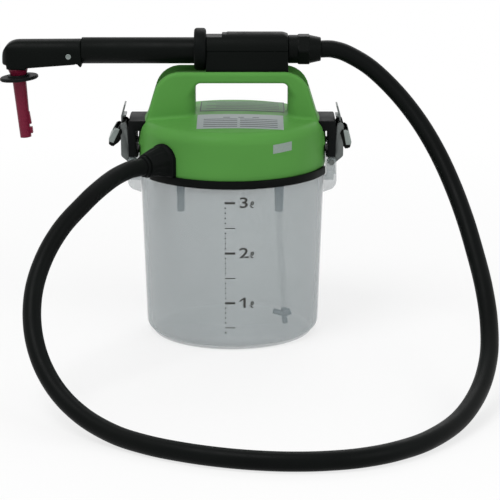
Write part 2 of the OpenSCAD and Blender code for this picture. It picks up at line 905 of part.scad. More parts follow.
holder_y = -18;
holder_foot_h = 8;
holder_foot_w = 6;
holder_side_h = 14;
holder_foot_x = cell_l * 0.54;
holder_floor_z = deck_z + holder_foot_h;
holder_wall = 2;
cells_z = holder_floor_z + holder_wall + cell_r;
cell_pitch = 2 * cell_r + 0.6;
holder_half_x = cell_l + 0.9 + holder_wall;
holder_half_y = cell_pitch / 2 + cell_r + 0.4 + holder_wall;

module battery_holder() {
    h = holder_wall + holder_side_h;
    color("#2b2f33")
        translate([0, holder_y, 0])
            difference() {
                union() {
                    translate([-holder_half_x, -holder_half_y, holder_floor_z])
                        cube([2 * holder_half_x, 2 * holder_half_y, h]);
                    for (x = [-1, 1], y = [-1, 1])
                        translate([
                            x * holder_foot_x - holder_foot_w / 2,
                            y * (holder_half_y - holder_foot_w) - holder_foot_w / 2,
                            deck_z
                        ])
                            cube([holder_foot_w, holder_foot_w, holder_foot_h + 1]);
                }
                translate([0, 0, holder_floor_z + holder_wall + h / 2])
                    cube([
                        2 * (holder_half_x - holder_wall),
                        2 * (holder_half_y - holder_wall),
                        h
                    ], center = true);
            }
}

module battery_cells() {
    color("#b08d4a")
        for (x = [-1, 0], y = [-0.5, 0.5])
            translate([0, holder_y + y * cell_pitch, 0]) {
                left = x * (cell_l + 0.4) + 0.2;
                long_bar(left, left + cell_l - 2, cells_z, cell_r, 0, 48);
                long_bar(left + cell_l - 2, left + cell_l, cells_z, 3, 0, 24);
            }
}

motor_y = cover_r - 39.4;
motor_z = deck_z + 2 + motor_r;
motor_right_x = -10;
pump_left_x = motor_right_x + 0.6;
pump_right_x = suction_x + 3.8;

module pump_motor() {
    color("#a7aeb0") {
        long_bar(motor_right_x - motor_l, motor_right_x - 2, motor_z, motor_r, motor_y, 64);
        long_bar(motor_right_x - 2, motor_right_x, motor_z, 5, motor_y, 32);
        long_bar(motor_right_x - 1, pump_left_x + 4, motor_z, 1.5, motor_y, 24);
    }
}

module motor_bracket() {
    w = 0.54 * motor_l;
    mid_x = motor_right_x - motor_l / 2;
    color("#6d7375")
        difference() {
            translate([mid_x - w / 2, motor_y - motor_r + 2, deck_z])
                cube([w, 2 * motor_r - 4, motor_r * 0.7]);
            long_bar(mid_x - w, mid_x + w, motor_z, motor_r + seat_gap, motor_y, 64);
        }
}

module pump_body() {
    half = pump_half;
    port_y = motor_y - half;
    color("#3a4044")
        difference() {
            union() {
                translate([pump_left_x, motor_y - half, deck_z])
                    cube([pump_right_x - pump_left_x, 2 * half, pump_h]);
                translate([suction_x, port_y, port_z]) rotate([90, 0, 0])
                    cylinder(r = 2.4, h = port_l, $fn = 24);
                translate([port_x, port_y, port_z]) rotate([90, 0, 0])
                    cylinder(r = 2.4, h = port_l, $fn = 24);
            }
            long_bar(pump_left_x - 1, pump_left_x + 5, motor_z, 1.5 + run_gap, motor_y, 24);
        }
}

board_l = 68;
board_h = 22;
board_t = 1.6;
chip_l = 10;

module circuit_board() {
    back_y = holder_y + holder_half_y + seat_gap;
    color("#2f6b3f")
        translate([-board_l / 2, back_y, holder_floor_z]) cube([board_l, board_t, board_h]);
    color("#1f2324")
        for (k = [-1:1])
            translate([(1.9 * k - 0.7) * chip_l, back_y + board_t, holder_floor_z + board_h / 3.5])
                cube([chip_l, 0.4 * chip_l, 0.9 * chip_l]);
}

port_z = deck_z + 3.8;
port_x = pump_left_x + 6;
port_l = 6;
pump_half = 12;
pump_h = 28;
inner_r = cover_r - 12;

// Short hoses from the suction fitting to the pump and from the pump to the outlet
module inner_hoses() {
    z = port_z;
    port_y = motor_y - pump_half;
    inner_x = inner_r * cos(boot_angle);
    inner_y = inner_r * sin(boot_angle);
    color("#9fb4b8") {
        difference() {
            bar([suction_x, 4.6, z], [suction_x, port_y - seat_gap, z], 3.6, 24);
            bar([suction_x, port_y - port_l - 1, z], [suction_x, port_y + 1, z], 2.5, 24);
        }
        tube(smooth_route([
            [port_x, port_y - port_l - seat_gap, z],
            [port_x - 2, port_y - port_l - 10, z],
            [-20, -12, z],
            [0.82 * inner_x, 0.82 * inner_y, z],
            [inner_x, inner_y, z + 2.2],
            [1.16 * inner_x, 1.16 * inner_y, outlet_z - 1.2],
            [1.33 * inner_x, 1.33 * inner_y, outlet_z],
            [1.46 * inner_x, 1.46 * inner_y, outlet_z]
        ], 3), 3.6, 8, [0, 0, 1]);
    }
}

// ---------------------------------------------------------------- inside the tank

// A fitting hangs below the plate, and its neck passes through the plate's hole
neck_h = 8;
neck_r = 4;
collar_h = 2;
fitting_collar_r = 6.8;
fitting_bore_r = 1.9;

module fitting(x, top_r, bottom_r) {
    bottom_z = plate_z - fitting_l;
    translate([x, 0, 0])
        difference() {
            union() {
                translate([0, 0, bottom_z])
                    cylinder(r1 = bottom_r, r2 = top_r, h = fitting_l - collar_h, $fn = 48);
                translate([0, 0, plate_z - collar_h])
                    cylinder(r = fitting_collar_r, h = collar_h, $fn = 48);
                translate([0, 0, plate_z - 1]) cylinder(r = neck_r, h = plate_t + neck_h, $fn = 48);
            }
            translate([0, 0, bottom_z - 1])
                cylinder(r = fitting_bore_r, h = fitting_l + plate_t + neck_h / 4, $fn = 24);
        }
}

module suction_fitting() {
    color("#6f8593") fitting(suction_x, 4.9, 3.9);
}

module return_fitting() {
    color("#6f8593") fitting(return_x, 3.9, 3.5);
}

strainer_x = suction_x + 5.2;
strainer_stem_h = 9;
strainer_z = tank_floor + strainer_clear + strainer_stem_h;
tube_end_z = strainer_z + 6;

module suction_tube() {
    top = [suction_x, 0, plate_z - fitting_l - seat_gap];
    end = [strainer_x, 0, tube_end_z];
    color("#c9d6d6")
        intersection() {
            difference() {
                bar(top + [-0.2, 0, 4], end - [-0.2, 0, 4], suction_tube_r, 32);
                bar(top + [-0.3, 0, 6], end - [-0.3, 0, 6], suction_tube_r - 1.2, 24);
            }
            translate([0, -far / 2, end[2] + seat_gap]) cube([far, far, top[2] - end[2] - seat_gap]);
        }
}

// A strainer with two arms and a stem that stands on the tank's floor
module strainer() {
    c = [strainer_x, 0, strainer_z];
    color("#6f8593") {
        bar(c, [strainer_x + 1, 0, tank_floor + strainer_clear], 2.6, 32);
        bar(c, c + [-10.4, 0, 3], 2.7, 32);
        bar(c, c + [6, 0, 3], 3.3, 32);
        bar(c - [0, 0, 1], [strainer_x, 0, tube_end_z], 2.9, 32);
    }
}

// ---------------------------------------------------------------- hose

module hose() {
    color("#1c1f1f")
        tube(smooth_route(hose_route, 2), hose_r, 10, [0, 0.86, -0.5]);
}

// ---------------------------------------------------------------- gun

// The nozzle's frame: 0 at the head's underside on the nozzle's axis, +Z back into the head
module nozzle_frame() {
    translate([nozzle_x, 0, head_bottom_z])
        rotate([0, -nozzle_lean, 0])
            children();
}

head_skirt_l = 23;
head_axis_z = gun_z - 1.7;
head_screw_x = tube_left_x - 11.9;
head_screw_z = gun_z - 5.4;

module head_outline() {
    top = gun_z + 9.5;
    polygon(concat(
        [
            [tube_left_x, top + 0.8],
            [tube_left_x, gun_z - 15],
            [tube_left_x - 1.4, gun_z - 15.6],
            [tube_left_x - 3.8, gun_z - 13],
            [tube_left_x - 5.4, gun_z - 12.6],
            [tube_left_x - 6.4, gun_z - 13.2],
            [head_left_x + head_skirt_l + 0.4, head_bottom_z + 1.4],
            [head_left_x + head_skirt_l - 0.4, head_bottom_z - 0.6],
            [head_left_x + 5, head_bottom_z + 0.4],
            [head_left_x + 4.6, head_bottom_z + 4],
            [head_left_x + 1, head_bottom_z + 4.2],
            [head_left_x, head_bottom_z + 5.5]
        ],
        arc(head_left_x + elbow_r, top - elbow_r, elbow_r, 180, 90, 7)
    ));
}

module nozzle_head() {
    r = head_half_w;
    color("#1f2322")
        difference() {
            intersection() {
                slab(-r, r) head_outline();
                translate([head_left_x - 1, 0, 0]) rotate([90, 0, 90])
                    linear_extrude(height = tube_left_x - head_left_x + 2) {
                        translate([0, head_axis_z]) circle(r = r, $fn = 64);
                        translate([-r, head_bottom_z - 5])
                            square([2 * r, head_axis_z - head_bottom_z + 5]);
                    }
            }
            nozzle_frame() {
                translate([0, 0, -10]) cylinder(r = nozzle_collar_r + run_gap, h = 20, $fn = 64);
                translate([0, 0, flange_z]) cylinder(r = pocket_r, h = pocket_top - flange_z, $fn = 48);
                translate([-5, -3.5, pocket_top - 1]) cube([10, 7, switch_h + 1.2]);
            }
            long_bar(nozzle_x + 12, tube_left_x + 1, gun_z, delivery_r + run_gap, 0, 32);
            translate([head_screw_x, 0, head_screw_z]) rotate([90, 0, 0]) {
                cylinder(r = 1.25, h = r + 1, $fn = 24);
                translate([0, 0, r - 2]) cylinder(r = 2.55, h = 4, $fn = 24);
            }
        }
}

module head_screw() {
    color("#9aa0a2")
        translate([head_screw_x, 0, head_screw_z]) rotate([90, 0, 0])
            difference() {
                union() {
                    translate([0, 0, 1]) cylinder(r = 1.2, h = head_half_w - 2, $fn = 24);
                    translate([0, 0, head_half_w - 1.95]) cylinder(r = 2.5, h = 1.85, $fn = 32);
                }
                for (a = [0, 90]) rotate(a)
                    translate([-1.7, -0.35, head_half_w - 0.8]) cube([3.4, 0.7, 2]);
            }
}

module extension_tube() {
    color("#20242a")
        difference() {
            long_bar(tube_left_x, grip_block_x, tube_z, tube_r);
            long_bar(tube_left_x - 1, grip_block_x + 1, tube_z, tube_r - tube_wall);
        }
}

module grip_collar() {
    edge_r = 2.5;
    color("#1b1e1e")
        difference() {
            translate([grip_left_x - collar_l, 0, gun_z]) rotate([0, 90, 0])
                rotate_extrude($fn = 96)
                    polygon(concat(
                        [[0, 0]],
                        arc(collar_r - edge_r, edge_r, edge_r, -90, 0, 4),
                        arc(collar_r - edge_r, collar_l - edge_r, edge_r, 0, 90, 4),
                        [[0, collar_l]]
                    ));
            long_bar(grip_left_x - collar_l - 1, grip_left_x + 1, tube_z, tube_r + run_gap);
        }
}

// Cross-section of the grip: round on top, deeper and flat below
module grip_section(inset) {
    r = grip_r - inset;
    low = grip_drop - inset;
    k = 5;
    circle(r = r, $fn = 64);
    polygon(concat(
        [[-r, 0]],
        arc(-r + k, -low + k, k, 180, 270, 4),
        arc(r - k, -low + k, k, 270, 360, 4),
        [[r, 0]]
    ));
}

module grip_solid(inset, x0, x1) {
    translate([x0, 0, gun_z]) rotate([90, 0, 90])
        linear_extrude(height = x1 - x0)
            grip_section(inset);
}

grip_screw_y = 8.5;
grip_block_x = step_x + grip_wall;
grip_screw_x = [grip_block_x + 13, grip_right_x - 12];
grip_end_t = 4;

module grip_shape() {
    difference() {
        union() {
            difference() {
                grip_solid(0, grip_left_x, grip_right_x);
                grip_solid(grip_wall, grip_block_x, grip_right_x - grip_end_t);
            }
            for (x = grip_screw_x, y = [-1, 1])
                translate([x, y * grip_screw_y, gun_z - grip_drop + 1])
                    cylinder(r = 3, h = grip_drop + 8, $fn = 32);
        }
        translate([grip_left_x - 1, -far / 2, gun_z + step_h]) cube([step_x - grip_left_x + 1, far, far]);
        translate([step_x - 1, -far / 2, gun_z + grip_r - 1.1]) cube([5.5, far, far]);
        slab(-grip_r, grip_r)
            polygon([
                [grip_right_x - 5, gun_z + grip_r],
                [grip_right_x + 1, gun_z + grip_r - 3.6],
                [grip_right_x + 1, gun_z + grip_r + 1],
                [grip_right_x - 5, gun_z + grip_r + 1]
            ]);
        long_bar(grip_left_x - 1, grip_block_x + 1, tube_z, tube_r + run_gap);
        long_bar(grip_right_x - grip_end_t - 1, grip_right_x + 1, gun_z, 7 + run_gap);
        for (x = grip_screw_x, y = [-1, 1])
            translate([x, y * grip_screw_y, gun_z - grip_drop - 1]) {
                cylinder(r = 1.3, h = grip_drop + 7, $fn = 24);
                cylinder(r = 2.6, h = 3, $fn = 24);
            }
    }
}

module grip_upper_shell() {
    color("#202424")
        intersection() {
            grip_shape();
            translate([-far / 2, -far / 2, gun_z + seat_gap]) cube([far, far, far]);
        }
}

module grip_lower_shell() {
    color("#1c2020")
        difference() {
            grip_shape();
            translate([-far / 2, -far / 2, gun_z]) cube([far, far, far]);
        }
}

module grip_screws() {
    color("#8d9496")
        for (x = grip_screw_x, y = [-1, 1])
            translate([x, y * grip_screw_y, gun_z - grip_drop + 0.2]) {
                cylinder(r = 2.5, h = 1.7, $fn = 24);
                cylinder(r = 1.25, h = grip_drop + 4, $fn = 24);
            }
}

module hose_nut() {
    chamfer = 1;
    round_r = nut_r * cos(30);
    color("#1f2323")
        difference() {
            union() {
                long_bar(nut_x, hexagon_x + 1, gun_z, round_r);
                intersection() {
                    long_bar(hexagon_x, nut_mid_x, gun_z, nut_r, 0, 6);
                    translate([hexagon_x, 0, gun_z]) rotate([0, 90, 0]) {
                        cylinder(r1 = nut_r - chamfer, r2 = nut_r, h = chamfer, $fn = 48);
                        translate([0, 0, chamfer]) cylinder(r = nut_r, h = nut_l - chamfer, $fn = 48);
                    }
                }
                translate([nut_mid_x - 0.1, 0, gun_z]) rotate([0, 90, 0])
                    cylinder(r1 = round_r, r2 = nut_end_r, h = nut_taper_l + 0.1, $fn = 48);
                long_bar(grip_right_x - grip_end_t, nut_x + 1, gun_z, 7, 0, 48);
            }
            long_bar(grip_right_x - 6, nut_end_x - 6, gun_z, delivery_r + run_gap, 0, 32);
        }
}

module delivery_tube() {
    color("#9fb4b8")
        difference() {
            long_bar(nozzle_x + 12.5, nut_end_x - 8, gun_z, delivery_r, 0, 32);
            long_bar(nozzle_x, nut_end_x, gun_z, delivery_r - 1.2, 0, 24);
        }
}

module micro_switch() {
    color("#303538")
        nozzle_frame() {
            translate([-4.8, -3.3, pocket_top + 0.1]) cube([9.6, 6.6, switch_h]);
            translate([0, 0, pocket_top - 0.7]) cylinder(r = 0.8, h = 1, $fn = 16);
        }
}

// Return spring between the nozzle's flange and the top of the pocket
module nozzle_spring() {
    turns = 5;
    wire = 0.6;
    coil_r = 7.4;
    low = flange_z + flange_t + wire + 0.05;
    high = pocket_top - wire - 0.05;
    steps = turns * 14;
    color("#a7aeb0")
        nozzle_frame()
            tube(
                [for (i = [0:steps])
                    [coil_r * cos(360 * i / 14), coil_r * sin(360 * i / 14), low + (high - low) * i / steps]],
                wire, 6, [0, 0, 1]
            );
}

// ---------------------------------------------------------------- nozzle

stem_top = pocket_top - press_travel - 1;
seat_top = -6.5;
seat_low = -12.4;
lug_low = 3.4 - nozzle_l;
lug_top = 9.5 - nozzle_l;
rib_low = 12.2 - nozzle_l;

module nozzle() {
    color("#7a1f38")
        nozzle_frame()
            difference() {
                union() {
                    rotate_extrude($fn = 64)
                        polygon([
                            [0, stem_top], [5, stem_top], [5.6, stem_top - 0.6],
                            [5.6, flange_z + flange_t], [flange_r, flange_z + flange_t],
                            [flange_r, flange_z], [nozzle_collar_r, flange_z],
                            [nozzle_collar_r, -0.6], [nozzle_r + 0.9, seat_top],
                            [nozzle_r + 0.2, seat_top], [nozzle_r + 0.2, seat_low],
                            [nozzle_r, seat_low - 0.5],
                            [tip_r, -nozzle_l], [0, -nozzle_l]
                        ]);
                    slab(-2.2, 2.2)
                        polygon([
                            [0, lug_low], [tip_r + 2.1, lug_low], [tip_r + 2.1, lug_top], [0, lug_top]
                        ]);
                    slab(-2.2, 2.2)
                        polygon([
                            [0, rib_low], [tip_r + 1.7, rib_low], [tip_r + 0.9, rib_low + 11.6],
                            [0, rib_low + 13]
                        ]);
                }
                translate([0, 0, -nozzle_l - 1])
                    cylinder(r = nozzle_bore_r, h = nozzle_l + flange_z + 6, $fn = 32);
                translate([tip_r - 0.3, -5, lug_top]) cube([5, 10, rib_low - lug_top]);
            }
}

module stop_disc() {
    hub_h = 5.4;
    disc_top = hub_h - 0.8;
    color("#24292c")
        nozzle_frame()
            translate([0, 0, seat_top - seat_gap - hub_h])
                difference() {
                    union() {
                        translate([0, 0, disc_top - disc_t]) cylinder(r = disc_r, h = disc_t, $fn = 64);
                        translate([0, 0, disc_top - 1]) cylinder(r = nozzle_r + 4.1, h = 2.6, $fn = 64);
                        cylinder(r = nozzle_r + 2, h = hub_h, $fn = 48);
                    }
                    translate([0, 0, -1]) cylinder(r = nozzle_r + 0.2 + run_gap, h = hub_h + 2, $fn = 48);
                    translate([0, 0, hub_h]) cylinder(r = nozzle_r + 1.6, h = 4, $fn = 48);
                }
}

module level_electrodes() {
    rod_r = 0.5;
    color("#b4bbbd")
        nozzle_frame()
            for (y = [-1, 1])
                translate([0, y * (nozzle_bore_r - rod_r - run_gap), -nozzle_l + 1])
                    cylinder(r = rod_r, h = nozzle_l - 6, $fn = 16);
}

tank();
lug_pins();
latch_base(-1);  // latch_base_left
latch_base(1);  // latch_base_right
lever_rivets();
latch_lever(-1);  // latch_lever_left
lever_pad(-1);  // lever_pad_left
hook_pin(-1);  // hook_pin_left
latch_lever(1);  // latch_lever_right
lever_pad(1);  // lever_pad_right
hook_pin(1);  // hook_pin_right
latch_hook(-1);  // latch_hook_left
latch_hook(1);  // latch_hook_right
base_plate();
tank_seal();
head_cover();
latch_keeper(-1);  // latch_keeper_left
latch_keeper(1);  // latch_keeper_right
keeper_screws();
cover_screws();
hose_boot();
hose_ring();
battery_holder();
battery_cells();
pump_motor();
pump_body();
motor_bracket();
circuit_board();
inner_hoses();
suction_fitting();
return_fitting();
suction_tube();
strainer();
hose();
nozzle_head();
extension_tube();
grip_upper_shell();
grip_lower_shell();
grip_collar();
hose_nut();
head_screw();
grip_screws();
delivery_tube();
micro_switch();
nozzle_spring();
nozzle();
stop_disc();
level_electrodes();
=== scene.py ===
"""Looks of a portable water filler for lead-acid batteries.

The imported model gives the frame. This script adds the finish of every surface, the smooth mouldings,
the hose, the litre marks, the labels, the stage, the lights and the camera. Shapes are worked out in
millimetres in the row's frame and put into meshes in metres.
"""

import json
import logging
import math
from dataclasses import dataclass, field
from enum import Enum
from typing import Callable, Iterable, Sequence

import bmesh
import bpy
import numpy as np
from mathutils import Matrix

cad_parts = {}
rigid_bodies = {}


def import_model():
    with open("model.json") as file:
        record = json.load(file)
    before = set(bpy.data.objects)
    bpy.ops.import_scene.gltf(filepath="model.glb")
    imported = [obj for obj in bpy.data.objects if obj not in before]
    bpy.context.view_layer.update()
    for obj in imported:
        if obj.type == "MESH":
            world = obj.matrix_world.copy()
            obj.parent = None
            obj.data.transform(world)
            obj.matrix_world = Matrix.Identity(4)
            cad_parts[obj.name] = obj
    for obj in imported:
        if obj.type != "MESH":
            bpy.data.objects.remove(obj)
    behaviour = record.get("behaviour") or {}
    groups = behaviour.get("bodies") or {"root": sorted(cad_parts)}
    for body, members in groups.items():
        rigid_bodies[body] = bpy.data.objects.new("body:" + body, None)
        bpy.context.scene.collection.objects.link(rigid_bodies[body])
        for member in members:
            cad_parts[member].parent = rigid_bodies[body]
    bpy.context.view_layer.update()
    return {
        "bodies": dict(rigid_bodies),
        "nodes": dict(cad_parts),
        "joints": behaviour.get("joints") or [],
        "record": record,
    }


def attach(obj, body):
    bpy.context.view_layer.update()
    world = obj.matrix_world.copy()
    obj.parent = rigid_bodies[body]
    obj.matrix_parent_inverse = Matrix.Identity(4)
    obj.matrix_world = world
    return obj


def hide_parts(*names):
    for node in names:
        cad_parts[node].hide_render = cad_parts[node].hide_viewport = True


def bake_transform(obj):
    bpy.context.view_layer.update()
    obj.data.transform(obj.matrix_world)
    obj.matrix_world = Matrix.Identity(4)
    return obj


log = logging.getLogger("water_filler")

MM = 0.001
Array = np.ndarray
DistanceField = Callable[[Array, Array, Array], Array]
Placing = Callable[[Array], Array]
Colour = tuple[float, float, float]
Outline = list[tuple[float, float]]


# ------------------------------------------------------------------ finishes


class NodeBench:
    """Builds one material's node tree around its Principled shader."""

    def __init__(self, name: str) -> None:
        """Start a material with a Principled shader and its output.

        Args:
            name: The material's name.
        """
        self.material = bpy.data.materials.new(name)
        self.material.use_nodes = True
        self.tree = self.material.node_tree
        self.shader = self.tree.nodes["Principled BSDF"]
        self.place = self.tree.nodes.new("ShaderNodeTexCoord").outputs["Object"]

    def set(self, **values: object) -> None:
        """Set sockets of the shader, with underscores in place of spaces."""
        for key, value in values.items():
            self.shader.inputs[key.replace("_", " ")].default_value = value

    def link(self, source: object, target: object) -> None:
        """Join an output to an input."""
        self.tree.links.new(source, target)

    def noise(self, scale: float, detail: float = 3.0, stretch: Sequence[float] = (1, 1, 1)) -> object:
        """Noise over the object's own coordinates.

        Args:
            scale: Cells for each metre.
            detail: Number of finer octaves.
            stretch: Factor on each axis before the noise is read.

        Returns:
            The noise node's factor output, from 0 to 1.
        """
        mapping = self.tree.nodes.new("ShaderNodeMapping")
        mapping.inputs["Scale"].default_value = stretch
        node = self.tree.nodes.new("ShaderNodeTexNoise")
        node.inputs["Scale"].default_value = scale
        node.inputs["Detail"].default_value = detail
        self.link(self.place, mapping.inputs["Vector"])
        self.link(mapping.outputs["Vector"], node.inputs["Vector"])
        return node.outputs["Fac"]

    def spread(self, source: object, low: float, high: float, start: float = 0.3, end: float = 0.7) -> object:
        """Map a factor to another range.

        Args:
            source: A factor's output.
            low: What the start becomes.
            high: What the end becomes.
            start: Factor at which the range starts.
            end: Factor at which it ends.

        Returns:
            The mapped output.
        """
        node = self.tree.nodes.new("ShaderNodeMapRange")
        for key, value in zip(("From Min", "From Max", "To Min", "To Max"), (start, end, low, high)):
            node.inputs[key].default_value = value
        self.link(source, node.inputs["Value"])
        return node.outputs["Result"]

    def tint(self, source: object, colour: Colour, low: float, high: float) -> None:
        """Let the base colour run over a range as the factor rises.

        Args:
            source: A factor's output.
            colour: The colour in the middle.
            low: Share of the colour at the low end.
            high: Share of the colour at the high end.
        """
        node = self.tree.nodes.new("ShaderNodeMix")
        node.data_type = "RGBA"
        for key, share in (("A", low), ("B", high)):
            node.inputs[key].default_value = (*(min(c * share, 1.0) for c in colour), 1)
        self.link(self.spread(source, 0.0, 1.0), node.inputs["Factor"])
        self.link(node.outputs["Result"], self.shader.inputs["Base Color"])

    def gloss(self, source: object, roughness: float, low: float, high: float) -> None:
        """Let the roughness run between two shares of a middle value as the factor rises."""
        self.link(self.spread(source, roughness * low, roughness * high), self.shader.inputs["Roughness"])

    @staticmethod
    def maths(tree: bpy.types.NodeTree, operation: str, *values: object) -> object:
        """Join a Math node to a tree.

        Args:
            tree: The material's or the world's tree.
            operation: The node's operation, as Blender names it.
            values: Its inputs, sockets or plain numbers.

        Returns:
            The node's output.
        """
        node = tree.nodes.new("ShaderNodeMath")
        node.operation = operation
        for value, target in zip(values, node.inputs):
            if isinstance(value, float):
                target.default_value = value
            else:
                tree.links.new(value, target)
        return node.outputs[0]

    def bump(self, source: object, height: float) -> None:
        """Raise the surface by a factor.

        Args:
            source: A factor's output.
            height: Height in metres at a factor of 1.
        """
        node = self.tree.nodes.new("ShaderNodeBump")
        node.inputs["Strength"].default_value = 1.0
        node.inputs["Distance"].default_value = height
        self.link(source, node.inputs["Height"])
        self.link(node.outputs["Normal"], self.shader.inputs["Normal"])


@dataclass(frozen=True)
class Moulded:
    """Moulded plastic or rubber: a slow drift of tone, a fine grain, and gloss that varies a little."""

    name: str
    colour: Colour
    roughness: float
    drift: float = 0.12
    grain_scale: float = 1400.0
    grain_height: float = 0.00002
    sheen: float = 0.5

    def material(self) -> bpy.types.Material:
        """Build the finish's node tree.

        Returns:
            The material.
        """
        bench = NodeBench(self.name)
        bench.tint(bench.noise(scale=14.0, detail=2.0), self.colour, 1 - self.drift, 1 + self.drift)
        bench.gloss(bench.noise(scale=60.0, detail=4.0), self.roughness, 0.86, 1.16)
        bench.bump(bench.noise(self.grain_scale, detail=2.0), self.grain_height)
        bench.set(IOR=1.46, Specular_IOR_Level=self.sheen)
        return bench.material


@dataclass(frozen=True)
class Milky:
    """Translucent moulded polyethylene: partly see-through, with a waxy surface and faint flow marks."""

    name: str
    colour: Colour
    alpha: float
    roughness: float = 0.36

    def material(self) -> bpy.types.Material:
        """Build the finish's node tree.

        Returns:
            The material.
        """
        bench = NodeBench(self.name)
        flow = bench.noise(scale=22.0, stretch=(1.0, 1.0, 0.25))
        bench.tint(flow, self.colour, 0.97, 1.03)
        bench.gloss(flow, self.roughness, 0.85, 1.2)
        bench.bump(bench.noise(scale=420.0, detail=2.0), height=0.00002)
        bench.set(Alpha=self.alpha, IOR=1.45, Specular_IOR_Level=0.4)
        return bench.material


@dataclass(frozen=True)
class Steel:
    """Plated sheet steel with fine rolling marks and slight tarnish."""

    name: str
    colour: Colour
    roughness: float
    stretch: tuple[float, float, float] = (1.0, 0.06, 1.0)

    def material(self) -> bpy.types.Material:
        """Build the finish's node tree.

        Returns:
            The material.
        """
        bench = NodeBench(self.name)
        lines = bench.noise(scale=2600.0, detail=2.0, stretch=self.stretch)
        bench.tint(bench.noise(scale=90.0, detail=4.0), self.colour, 0.86, 1.05)
        bench.gloss(lines, self.roughness, 0.8, 1.25)
        bench.bump(lines, height=0.000012)
        bench.set(Metallic=1.0)
        return bench.material


@dataclass(frozen=True)
class Printed:
    """Flat print or paper: an even tone with a little mottle."""

    name: str
    colour: Colour
    roughness: float = 0.55
    metallic: float = 0.0

    def material(self) -> bpy.types.Material:
        """Build the finish's node tree.

        Returns:
            The material.
        """
        bench = NodeBench(self.name)
        bench.tint(bench.noise(scale=700.0), self.colour, 0.93, 1.04)
        bench.set(Roughness=self.roughness, Metallic=self.metallic, Specular_IOR_Level=0.12)
        return bench.material


class Finish(Enum):
    """Every finish of the object."""

    TANK = Milky("milky_tank", (0.426, 0.478, 0.490), 0.38)
    GREEN = Moulded("green_cover", (0.091, 0.290, 0.058), 0.46, 0.05, 1100.0, 0.000008, 0.09)
    BLACK = Moulded("black_moulding", (0.0028, 0.0038, 0.0033), 0.42, 0.25, 1500.0, 0.00002, 0.06)
    DARK = Moulded("dark_grained_moulding", (0.0036, 0.0042, 0.0044), 0.55, 0.2, 1500.0, 0.00005, 0.08)
    RUBBER = Moulded("black_rubber", (0.0028, 0.0036, 0.0034), 0.5, 0.25, 900.0, 0.00003, 0.06)
    HOSE = Moulded("hose_rubber", (0.0030, 0.0038, 0.0036), 0.42, 0.3, 700.0, 0.00003, 0.06)
    SEAL = Moulded("seal_rubber", (0.03, 0.034, 0.036), 0.7)
    DISC = Moulded("disc_moulding", (0.0045, 0.0055, 0.0055), 0.5, 0.2, 1500.0, 0.00003, 0.08)
    CRIMSON = Moulded("crimson_moulding", (0.160, 0.0085, 0.030), 0.34, 0.12, 1200.0, 0.00001, 0.20)
    BLUE_GREY = Moulded("blue_grey_moulding", (0.012, 0.055, 0.105), 0.45, sheen=0.1)
    CLEAR = Milky("clear_tube", (0.62, 0.68, 0.69), 0.07, 0.2)
    STEEL = Steel("plated_steel", (0.145, 0.158, 0.154), 0.42)
    BRIGHT = Steel("bright_plate", (0.275, 0.315, 0.30), 0.40, (0.06, 1.0, 1.0))
    CELLS = Printed("cell_sleeve", (0.45, 0.33, 0.10), 0.35, 0.6)
    BOARD = Moulded("board_laminate", (0.03, 0.16, 0.06), 0.4)
    INK = Printed("mark_ink", (0.055, 0.055, 0.052), 0.5)
    FRAME_INK = Printed("label_frame_ink", (0.030, 0.045, 0.045), 0.5)
    PANEL = Printed("panel_print", (0.100, 0.230, 0.100), 0.5)
    PANEL_MARKS = Printed("panel_marks", (0.085, 0.120, 0.100), 0.5)
    SILVER = Printed("silver_label", (0.31, 0.34, 0.35), 0.45)
    RULES = Printed("label_rules", (0.10, 0.11, 0.115), 0.5)
    PAPER = Printed("white_sticker", (0.28, 0.34, 0.31), 0.45)


class Wardrobe:
    """Makes each finish's material once and puts it on pieces."""

    def __init__(self) -> None:
        """Start with no material made."""
        self.made: dict[Finish, bpy.types.Material] = {}

    def dress(self, obj: bpy.types.Object, finish: Finish) -> bpy.types.Object:
        """Give the object one finish.

        Args:
            obj: A piece or a carried-over node.
            finish: The finish that covers it.

        Returns:
            The same object.
        """
        if finish not in self.made:
            self.made[finish] = finish.value.material()
        obj.data.materials.clear()
        obj.data.materials.append(self.made[finish])
        return obj


# ------------------------------------------------------------------ meshes


